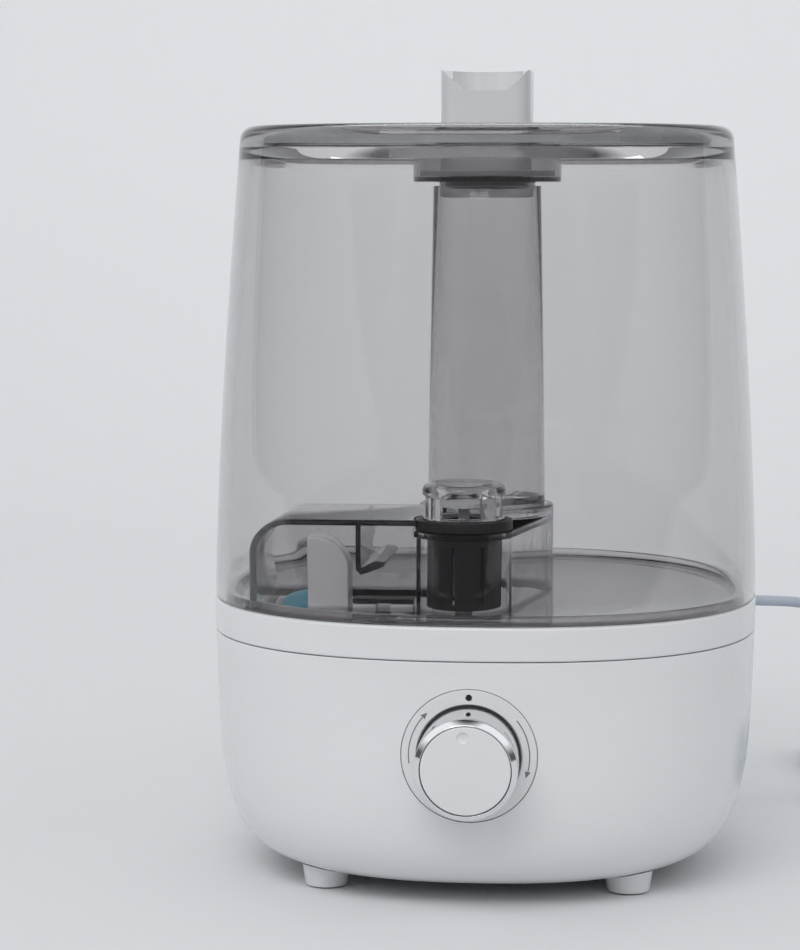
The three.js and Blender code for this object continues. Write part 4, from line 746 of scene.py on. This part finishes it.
CLIP_WEST = 16.9
CLIP_EAST = 31.1
CLIP_HEIGHT = 13.7
CLIP_WALL = 1.2
CLIP_HALF = 3
clip = block(
    CLIP_WEST - CLIP_WALL,
    CLIP_EAST + CLIP_WALL,
    -CLIP_HALF,
    CLIP_HALF,
    0,
    CLIP_HEIGHT + CLIP_WALL,
)
cut(clip, block(CLIP_WEST, CLIP_EAST, -CLIP_HALF - 1, CLIP_HALF + 1, -1, CLIP_HEIGHT))
soften(clip, 0.35, 2)
clip_place = Matrix.Translation((COIL_CENTRE[0] / MM, COIL_CENTRE[1] / MM, 0))
moved(clip, clip_place @ Matrix.Rotation(math.radians(-50), 4, "Z"))
show(clip, "coil_clip", "base", SILICONE, ["cord_clip"])

# ---- Base ----


def bowl_fill(inset):
    curve = bowl_curve(inset)
    return lathe([(0, PARTING_Z), *curve, (0, curve[-1][1])], BODY, plan=True)


dial_half = next(r for r, z in bowl_curve(0, 60) if z < DIAL_Z)
IN_DIAL = Matrix.Translation((0, -dial_half, DIAL_Z)) @ Matrix.Rotation(math.pi / 2 + DIAL_TILT, 4, "X")
wall_points = bowl_curve(0, 400)


def wall_half(z):
    for (r0, z0), (r1, z1) in zip(wall_points, wall_points[1:]):
        if z1 <= z <= z0:
            return r0 + (r1 - r0) * (z0 - z) / (z0 - z1)
    return wall_points[0][0]


def wall_level(px, py, inset):
    """How far out of the dial's frame the bowl's wall, moved in by an inset, lies at a point."""
    low, high = -12.0, 12.0
    for _ in range(30):
        middle = (low + high) / 2
        place = IN_DIAL @ Vector((px, py, middle))
        reach = (abs(place.x) ** PLAN_POWER + abs(place.y) ** PLAN_POWER) ** (1 / PLAN_POWER)
        if reach < wall_half(place.z) - inset:
            low = middle
        else:
            high = middle
    return (low + high) / 2


def dial_disc(inner, outer, top_inset, low_inset, edge=0.0, segments=ROUND):
    """A plate in the bowl's wall, bounded by two circles of the dial. It follows the wall."""
    rings = 4
    section = []
    for k in range(rings + 1):
        section.append((inner + (outer - inner) * k / rings, top_inset))
    section += [(outer, low_inset)]
    for k in range(1, rings + 1):
        section.append((outer + (inner - outer) * k / rings, low_inset))
    if edge:
        section[0] = (inner + edge, top_inset)
        section[rings] = (outer - edge, top_inset)
        section.insert(rings + 1, (outer, top_inset + edge))
        section.append((inner, top_inset + edge))
    verts = []
    faces = []
    count = len(section)
    closed = inner > 0
    for s in range(segments):
        angle = 2 * math.pi * s / segments
        for radius, inset in section:
            px, py = radius * math.cos(angle), radius * math.sin(angle)
            verts.append((px, py, wall_level(px, py, inset)))
    for s in range(segments):
        t = (s + 1) % segments
        for i in range(count if closed else count - 1):
            j = (i + 1) % count
            faces.append((s * count + i, t * count + i, t * count + j, s * count + j))
    return moved(make_object("disc", verts, faces), IN_DIAL)


bowl_profile = [
    (COVER_SEAT_R, FOOT_HEIGHT),
    *reversed(bowl_curve(0)),
    *bowl_curve(BASE_WALL, 12),
    (BOWL_UNDERSIDE_R, COVER_LEDGE_Z),
    (COVER_LEDGE_R, COVER_LEDGE_Z),
    (COVER_LEDGE_R, COVER_SEAT_Z),
    (COVER_SEAT_R, COVER_SEAT_Z),
]
bowl = lathe(rounded(bowl_profile, 0.4, steps=3), BODY, plan=True)
bosses = [cylinder(4.5, COVER_SEAT_Z, 16, x, y) for x, y in corners(*COVER_SCREWS)]
bosses += [cylinder(6, 8, 13, x, y) for x, y in corners(*HOUSING_SCREWS)]
bosses += [cylinder(3, 9, 40, x, y) for x in (-30, 30) for y in (50, 66)]
join(bowl, *bosses)
screw_places = [*corners(*COVER_SCREWS), *corners(*HOUSING_SCREWS)]
holes = [cylinder(SCREW_HOLE_R, 0, DRILL_TOP_Z, x, y) for x, y in screw_places]
holes += [cylinder(SCREW_HEAD_HOLE_R, 0, 9.5, x, y) for x, y in corners(*HOUSING_SCREWS)]
holes += [cylinder(3.3, 0, 20, x, y) for x, y in corners(*FOOT_PLACES)]
holes.append(dial_disc(0, DIAL_R + FIT, -1, 1.3))
holes.append(moved(cylinder(4.8, -DRILL, DRILL), IN_DIAL))
holes.append(at_exit(cylinder(3.7, -DRILL, DRILL)))
cut(bowl, *holes)
show(bowl, "bowl", "base", WHITE, ["base_bowl"])

# ---- The plan shared by the tank's pocket and the base's basin ----


def pocket_box(inset, low, roof, edge, soft=0.0):
    west = POCKET_WEST + inset
    corner = max(edge - inset, 0.5)
    bend = arc(west + corner, roof - corner, corner, 90, 180, 12)
    outline = [(west, low), (0, low), (0, roof), *bend]
    made = slab(outline, POCKET_SOUTH + inset, POCKET_NORTH - inset)
    return soften(made, soft, 3) if soft else made


def pocket_neck(inset, low, high, soft=0.0):
    chamber = CHAMBER_R - inset
    seat = VALVE_POCKET_R - inset
    distance = math.hypot(*VALVE)
    heading = math.degrees(math.atan2(VALVE[1], VALVE[0]))
    spread = math.degrees(math.acos((chamber - seat) / distance))
    outline = arc(0, 0, chamber, heading + spread, heading - spread + 360, 40)
    outline += arc(*VALVE, seat, heading - spread, heading + spread, 40)
    made = prism(outline, low, high)
    return soften(made, soft, 3) if soft else made


skirt_r = BOWL_HALF - BASE_WALL - FIT
deck_profile = [
    (0, DECK_LOW_Z),
    (skirt_r - LAP_WALL, DECK_LOW_Z),
    (skirt_r - LAP_WALL, LAP_LOW_Z),
    (skirt_r, LAP_LOW_Z),
    (skirt_r, BAND_LOW_Z),
    (BODY_HALF, BAND_LOW_Z),
    (BODY_HALF, BASE_TOP_Z),
    (RING_INSIDE_R, BASE_TOP_Z),
    (RING_INSIDE_R, DECK_TOP_Z),
    (0, DECK_TOP_Z),
]
deck = lathe(rounded(deck_profile, 0.8, closed=False, steps=4), BODY, plan=True)
posts = [cylinder(4.5, 13.3, 95, x, y) for x, y in corners(*HOUSING_SCREWS)]
well_roof = DECK_LOW_Z + 0.5 - FIT
posts += [
    pocket_box(FIT, BASIN_LOW_Z, well_roof, 1),
    cylinder(CHAMBER_R - FIT, BASIN_LOW_Z, well_roof),
    pocket_neck(FIT, BASIN_LOW_Z, well_roof),
]
join(deck, *posts)
inset = FIT + BASIN_WALL
cut(
    deck,
    pocket_box(inset, BASIN_INSIDE_Z, WELL_CUT_Z, 1),
    cylinder(CHAMBER_R - inset, BASIN_INSIDE_Z, WELL_CUT_Z),
    pocket_neck(inset, BASIN_INSIDE_Z, WELL_CUT_Z),
)


def duct_outline(inset, low, top, corner):
    west = DUCT_WEST + inset
    east = DUCT_EAST - inset
    bend = arc(east - corner, top - corner, corner, 0, 90, 12)
    return [(west, low), (east, low), *bend, (west, top)]


duct = slab(duct_outline(0, BASIN_LOW_Z + 1, DUCT_TOP_Z, DUCT_EDGE_R), DUCT_SOUTH, DUCT_NORTH)
soften(duct, 0.6, 3)
duct_bore = duct_outline(DUCT_WALL, 0, DUCT_TOP_Z - DUCT_WALL, DUCT_EDGE_R - DUCT_WALL)
blocks = [soften(block(west, west + 8, -54, -46, 79, 100.6), 0.5, 2) for west in (-43, -30)]
join(deck, duct, *blocks)
cut(
    deck,
    slab(duct_bore, DUCT_SOUTH + DUCT_WALL, DUCT_NORTH - DUCT_WALL),
    block(-56.5, -46.5, -43.5, -39.5, 107.6, 117.6),
    cylinder(14, 0, 81.4, segments=ROUND),
    *[cylinder(SCREW_HOLE_R, 0, DRILL_TOP_Z, x, y) for x, y in corners(*HOUSING_SCREWS)],
)
show(deck, "deck", "base", WHITE, ["base_deck"])

for number, (x, y) in enumerate(corners(*FOOT_PLACES), 1):
    cone_profile = [(0, 2), (5.8, 2), (5.8, 0.5), (7.4, 0.5), (9.15, 11.5), (0, 11.5)]
    cone = lathe(rounded(cone_profile, 0.4, closed=False, steps=3), SMALL, x=x, y=y)
    cut(cone, bowl_fill(-FIT))
    join(cone, cylinder(3, 2.7, 14, x, y))
    show(cone, f"foot_mesh_{number}", "base", WHITE, [f"foot_{number}"])
    pad = cylinder(5.5, 0, 1.7, x, y, edge=0.3)
    show(pad, f"foot_pad_mesh_{number}", "base", RUBBER, [f"foot_pad_{number}"])

plate = dial_disc(DIAL_INSIDE_R, DIAL_R, 0, 1, edge=0.25, segments=ROUND + SMALL)
cut(plate, moved(cylinder(1.15, -DRILL, DRILL, 0, LENS_FROM_CENTRE), IN_DIAL))
show(plate, "dial_ring", "base", WHITE_PLATE, ["dial_plate"])
gasket_profile = [(15, -1), (17.4, -1), (17.4, -0.3), (15, -0.3)]
gasket = moved(lathe(rounded(gasket_profile, 0.2), ROUND), IN_DIAL)
show(gasket, "dial_gasket_ring", "base", RUBBER, ["dial_gasket"])


def dial_mark(points, name):
    """A thin printed mark that follows the dial's ring, from its outline in the dial's plane."""
    count = len(points)
    verts = [(px, py, wall_level(px, py, -MARK_SUNK)) for px, py in points]
    verts += [(px, py, wall_level(px, py, MARK_PROUD)) for px, py in points]
    faces = [tuple(range(count)), tuple(range(count, 2 * count))]
    faces += [(i, (i + 1) % count, count + (i + 1) % count, count + i) for i in range(count)]
    show(moved(make_object(name, verts, faces), IN_DIAL), name, "base", MARK, [])


def dial_arrow(start, end, name):
    """An arc from one angle to another with an arrowhead at its end."""
    way = 1 if end > start else -1
    line = arc(0, 0, MARK_R + MARK_HALF, start, end, 18)
    line += arc(0, 0, MARK_R - MARK_HALF, end, start, 18)
    dial_mark(line, f"{name}_line")
    tip = math.radians(end + way * 7)
    root = math.radians(end + way * 0.4)
    head = [
        (MARK_R * math.cos(tip), MARK_R * math.sin(tip)),
        ((MARK_R + 1) * math.cos(root), (MARK_R + 1) * math.sin(root)),
        ((MARK_R - 1) * math.cos(root), (MARK_R - 1) * math.sin(root)),
    ]
    dial_mark(head, f"{name}_head")


dial_arrow(188, 140, "left_arrow")
dial_arrow(38, -14, "right_arrow")

# ---- Knob ----

knob_profile = [
    (15.3, 0.3),
    (17.2, 0.3),
    (17.2, KNOB_LENGTH - 1.6),
    (15.5, KNOB_LENGTH),
    (15.3, KNOB_LENGTH),
    (15.3, KNOB_LENGTH - 3.4),
    (13.4, KNOB_LENGTH - 3.4),
    (13.4, KNOB_LENGTH - 5.4),
    (15.3, KNOB_LENGTH - 6.6),
]
knob = moved(lathe(rounded(knob_profile, 0.5, steps=5), ROUND + SMALL), IN_DIAL)
show(knob, "knob_ring", "knob", CHROME, ["knob_skirt"])
face_profile = [
    (0, 14),
    (3.3, 14),
    (3.3, 3),
    (6, 3),
    (6, KNOB_LENGTH - 3.1),
    (15, KNOB_LENGTH - 3.1),
    (15, KNOB_LENGTH),
    (0, KNOB_LENGTH),
]
face = lathe(rounded(face_profile, 0.5, closed=False, steps=4), ROUND + SMALL)
dimple = lathe(arc(0, 0, 2, -90, 90, 16), SMALL)
moved(dimple, Matrix.Translation((-0.9, 11.3, KNOB_LENGTH)) @ Matrix.Diagonal((1, 1, 0.35, 1)))
cut(face, dimple)
moved(face, IN_DIAL)
show(face, "knob_cap", "knob", WHITE_PLATE, ["knob_face"])

# ---- Float ----

dome_angles = [math.pi / 2 * k / 10 for k in range(10)]
dome = [(FLOAT_R * math.cos(a), FLOAT_DOME_Z + FLOAT_DOME * math.sin(a)) for a in dome_angles]
float_profile = [
    (0, FLOAT_LOW_Z + 9.5),
    (3, FLOAT_LOW_Z + 9.5),
    (3, FLOAT_LOW_Z),
    (FLOAT_R, FLOAT_LOW_Z),
    *dome,
    (0, FLOAT_DOME_Z + FLOAT_DOME),
]
float_outline = rounded(float_profile, 0.6, closed=False, steps=3)
floater = lathe(float_outline, ROUND, x=FLOAT[0], y=FLOAT[1])
show(floater, "teal_float", "float", TEAL, ["float"])

# ---- Tank ----

shoulder = arc(tank_half(SHOULDER_Z) - SHOULDER_R, SHOULDER_Z, SHOULDER_R, 0, 90, 10)
outer_levels = [TANK_LOW_Z + (SHOULDER_Z - TANK_LOW_Z) * k / 24 for k in range(24)]
inner_levels = [INNER_LOW_Z + (INNER_TOP_Z - INNER_LOW_Z) * k / 16 for k in range(17)]
outer_side = [(tank_half(z), z) for z in outer_levels]
inner_side = [(tank_half(z) - TANK_WALL, z) for z in inner_levels]
shell_profile = [
    (tank_half(INNER_LOW_Z) - TANK_WALL, TANK_LOW_Z),
    *outer_side,
    *shoulder,
    (82, TANK_TOP_Z),
    (82, 263),
    (80.8, 263),
    (80.8, 258),
    *reversed(inner_side),
]
shell = lathe(rounded(shell_profile, 0.5, steps=3), BODY + 32, plan=True)
show(shell, "tank", "tank", SMOKE, ["tank_shell"])

floor_profile = [
    (0, TANK_FLOOR_LOW_Z),
    (93.1, TANK_FLOOR_LOW_Z),
    (93.1, 102.6),
    (90.5, 102.6),
    (90.5, TANK_FLOOR_Z),
    (0, TANK_FLOOR_Z),
]
tank_floor = lathe(rounded(floor_profile, 0.5, closed=False, steps=3), BODY, plan=True)
wall_low = 97.5
chamber_profile = [
    (0, wall_low),
    (CHAMBER_R, wall_low),
    (CHAMBER_R, POCKET_ROOF_Z),
    (0, POCKET_ROOF_Z),
]
chamber = lathe(rounded(chamber_profile, 1.2, closed=False), ROUND)
join(
    tank_floor,
    pocket_box(0, wall_low, POCKET_ROOF_Z, POCKET_EDGE_R, soft=1.2),
    chamber,
    pocket_neck(0, wall_low, VALVE_ROOF_Z, soft=0.8),
)
cut(tank_floor, cylinder(VALVE_POCKET_R, VALVE_ROOF_Z, POCKET_ROOF_Z + 1, *VALVE, segments=ROUND))
cut_low = 90
inner_roof = POCKET_ROOF_Z - POCKET_WALL
cut(
    tank_floor,
    pocket_box(POCKET_WALL, cut_low, inner_roof, POCKET_EDGE_R),
    cylinder(CHAMBER_R - POCKET_WALL, cut_low, inner_roof, segments=ROUND),
    pocket_neck(POCKET_WALL, cut_low, VALVE_ROOF_Z - POCKET_WALL),
)
baffle_outline = [
    (-41.6, 113),
    (-39.8, 111.2),
    (-31.6, 114.2),
    (-31.6, 115.7),
    (-34.9, 116.1),
    (-39.8, 113.6),
    (-39.8, 129.5),
    (-41.6, 129.5),
]
join(
    tank_floor,
    pocket_neck(0, VALVE_ROOF_Z - POCKET_WALL, VALVE_ROOF_Z),
    slab(rounded(baffle_outline, 0.4, steps=3), -57.8, -10.2),
    block(-31, -25, -82, -80, 98.4, 100.9),
)
cut(
    tank_floor,
    cylinder(13.2, cut_low, POCKET_ROOF_Z, *VALVE, segments=ROUND),
    cylinder(19.6, cut_low, POCKET_ROOF_Z + 1, segments=ROUND),
)
show(tank_floor, "tank_floor_and_pocket", "tank", FLOOR_SMOKE, ["tank_floor"])

tube_profile = [
    (17.7, 127.8),
    (19.3, 127.8),
    (19.3, 130.8),
    (21.4, 130.8),
    (19.5, 245),
    (17.7, 245),
    (19.6, 133.8),
    (17.7, 131.3),
]
tube = lathe(rounded(tube_profile, 0.3, steps=3), ROUND)
show(tube, "mist_tube", "tank", TUBE_SMOKE, ["mist_tube"])

barrel_profile = [
    (10.5, 100.3),
    (12.9, 100.3),
    (12.9, 127),
    (16.9, 127),
    (16.9, POCKET_ROOF_Z),
    (5.5, POCKET_ROOF_Z),
    (5.5, 128.5),
    (10.5, 128.5),
]
barrel = lathe(rounded(barrel_profile, 0.4, steps=3), ROUND)
slot = (0, 20, -0.65, 0.65, 102, 122)
cut(barrel, *[turned(block(*slot), 45 * k + 32) for k in range(8)])
moved(barrel, Matrix.Translation((*VALVE, 0)))
show(barrel, "valve_barrel", "tank", BLACK, ["valve_body"])

cap_low = 130.8
cap_top = 143.2
cap_profile = [
    (0, cap_top - 1.8),
    (9.6, cap_top - 1.8),
    (12.6, cap_top - 4.8),
    (12.6, cap_low),
    (14.4, cap_low),
    *arc(11.4, cap_top - 3, 3, 0, 90, 10),
    (0, cap_top),
]
cap = lathe(rounded(cap_profile, 0.4, closed=False, steps=3), ROUND)
window = (0, 20, -6.5, 6.5, cap_low + 0.8, cap_low + 8.2)
cut(cap, *[turned(block(*window), 90 * k) for k in range(4)])
moved(cap, Matrix.Translation((*VALVE, 0)))
show(cap, "valve_cap", "tank", CLEAR, ["valve_cap"])

# ---- Lid and nozzle ----

lid_profile = [
    (0, 264),
    (77.3, 264),
    (77.3, 256.3),
    (80.3, 256.3),
    (80.3, 258.9),
    (79.2, 258.9),
    (79.2, 261.7),
    (80.3, 261.7),
    (80.3, 263.3),
    (81.5, 263.3),
    (81.5, TANK_TOP_Z),
    (0, TANK_TOP_Z),
]
lid = lathe(rounded(lid_profile, 0.5, closed=False, steps=4), BODY + 32, plan=True)
cut(lid, cylinder(25.9, 246, 267, segments=ROUND))
cup_profile = [
    (25, TANK_TOP_Z),
    (26.8, TANK_TOP_Z),
    (26.8, 246.7),
    (17.4, 246.7),
    (17.4, 240.5),
    (15.6, 240.5),
    (15.6, 248.7),
    (25, 248.7),
]
join(lid, lathe(rounded(cup_profile, 0.5, steps=3), ROUND))
show(lid, "lid_plate", "lid", LID_SMOKE, ["lid"])

nozzle_low = 249
nozzle_top = 286
flat = 10
outline = []
for quarter, (sx, sy) in enumerate([(1, 1), (-1, 1), (-1, -1), (1, -1)]):
    outline += arc(sx * flat, sy * flat, 6, 90 * quarter, 90 * quarter + 90, 10)
nozzle = soften(prism(outline, nozzle_low + 1, nozzle_top), 0.5, 3, angle=50)
join(
    nozzle,
    cylinder(24.5, nozzle_low, nozzle_low + 2.5, segments=ROUND, edge=0.5),
    cylinder(15.3, 243.5, nozzle_low + 1.2, segments=ROUND, edge=0.4),
)
scoop = [(-8, 278.6), (8, 278.6), (15.4, 286), (15.4, 288), (-15.4, 288), (-15.4, 286)]
cut(nozzle, cylinder(12.5, 240, 300, segments=ROUND), slab(rounded(scoop, 1.2, steps=4), -18, 0))
show(nozzle, "nozzle", "nozzle", WHITE, ["mist_nozzle"])

# ---- Pieces shown as the frame has them ----

KEPT = {
    "bottom_cover": (WHITE, 0.3),
    "main_board": (BOARD, 0.15),
    "heat_sink": (ALUMINIUM, 0.2),
    "transformer": (BLACK, 0.5),
    "fan_frame": (BLACK, 0.4),
    "fan_motor": (STEEL, 0.3),
    "fan_impeller": (BLACK, 0.0),
    "inlet_filter": (FOAM, 0.3),
    "transducer_seal": (SILICONE, 0.2),
    "transducer": (BRASS, 0.1),
    "transducer_clamp": (ALUMINIUM, 0.2),
    "basin_strip": (BLACK, 0.3),
    "valve_push_pin": (WHITE_PLATE, 0.2),
    "float_post": (WHITE_PLATE, 0.2),
    "indicator_lens": (BLACK, 0.1),
    "potentiometer_nut": (STEEL, 0.2),
    "potentiometer": (STEEL, 0.2),
    "knob_shaft": (STEEL, 0.2),
    "valve_plunger": (SILICONE, 0.25),
    "valve_spring": (STEEL, 0.0),
    "lid_gasket": (SILICONE, 0.15),
    "plug_blade_1": (STEEL, 0.3),
    "plug_blade_2": (STEEL, 0.3),
    **{f"cover_screw_{n}": (STEEL, 0.15) for n in range(1, 5)},
    **{f"housing_screw_{n}": (STEEL, 0.15) for n in range(1, 5)},
}
for name, (material, edge) in KEPT.items():
    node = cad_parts[name]
    node.data.materials.clear()
    node.data.materials.append(material)
    if edge:
        bevel = node.modifiers.new("soft edges", "BEVEL")
        bevel.width = edge * MM
        bevel.segments = 2
        bevel.limit_method = "ANGLE"
        bevel.angle_limit = math.radians(40)

# ---- Stage and light ----

STAGE = surface("studio sweep", (0.79, 0.805, 0.815), (0.81, 0.825, 0.835), (0.75, 0.85), grain=1.5)
# Painted shade: the sweep's colour turns darker towards the floor, below about 0.45 m, where less light
# falls.
paint_shade_below(STAGE, 0.45, (0.715, 0.725, 0.735), spread=0.9)
BEND_START = 0.9
BEND_R = 1.1
bend_angles = [math.pi / 2 * k / 24 for k in range(1, 25)]
bend = [(BEND_START + BEND_R * math.sin(a), BEND_R - BEND_R * math.cos(a)) for a in bend_angles]
sweep_line = [(-0.5, 0), (BEND_START, 0), *bend, (2.0, 3.2)]
sweep_verts = [(x, y, z) for x in (-3.5, 3.5) for y, z in sweep_line]
steps = len(sweep_line)
sweep_faces = [(i, i + 1, steps + i + 1, steps + i) for i in range(steps - 1)]
sweep = make_object("sweep", sweep_verts, sweep_faces)
sweep.data.polygons.foreach_set("use_smooth", [True] * len(sweep.data.polygons))
sweep.data.materials.append(STAGE)


def area_light(name, place, target, width, height, power):
    light = bpy.data.lights.new(name, "AREA")
    light.shape = "RECTANGLE"
    light.size = width
    light.size_y = height
    light.energy = power
    lamp = bpy.data.objects.new(name, light)
    bpy.context.collection.objects.link(lamp)
    lamp.location = place
    aim = Vector(target) - Vector(place)
    lamp.rotation_euler = aim.to_track_quat("-Z", "Y").to_euler()


area_light("front soft box", (-0.35, -1.4, 1.5), (0, 0, 0.12), 1.3, 0.8, 13)
area_light("back soft box", (0, 0.9, 1.9), (0, 1.9, 0.5), 1.6, 0.8, 9)

world = bpy.data.worlds.new("studio")
world.use_nodes = True
bpy.context.scene.world = world
world_nodes = world.node_tree.nodes
world_links = world.node_tree.links
ambient = world_nodes["Background"]
ambient.inputs["Strength"].default_value = 0.95
direction = world_nodes.new("ShaderNodeTexCoord")
split = world_nodes.new("ShaderNodeSeparateXYZ")
world_links.new(direction.outputs["Generated"], split.inputs["Vector"])
sky = world_nodes.new("ShaderNodeValToRGB")
DIM = (0.1, 0.1, 0.105, 1)
BRIGHT = (1.0, 1.02, 1.05, 1)
ZENITH = (0.05, 0.05, 0.055, 1)
first, last = sky.color_ramp.elements
first.position = 0.12
first.color = DIM
last.position = 0.4
last.color = BRIGHT
sky.color_ramp.elements.new(0.86).color = BRIGHT
sky.color_ramp.elements.new(0.94).color = ZENITH
world_links.new(split.outputs["Z"], sky.inputs["Fac"])
world_links.new(sky.outputs["Color"], ambient.inputs["Color"])

bounces = bpy.context.scene.cycles
bounces.max_bounces = 24
bounces.transmission_bounces = 24
bounces.transparent_max_bounces = 24
bounces.glossy_bounces = 8
bpy.context.scene.view_settings.view_transform = "Standard"
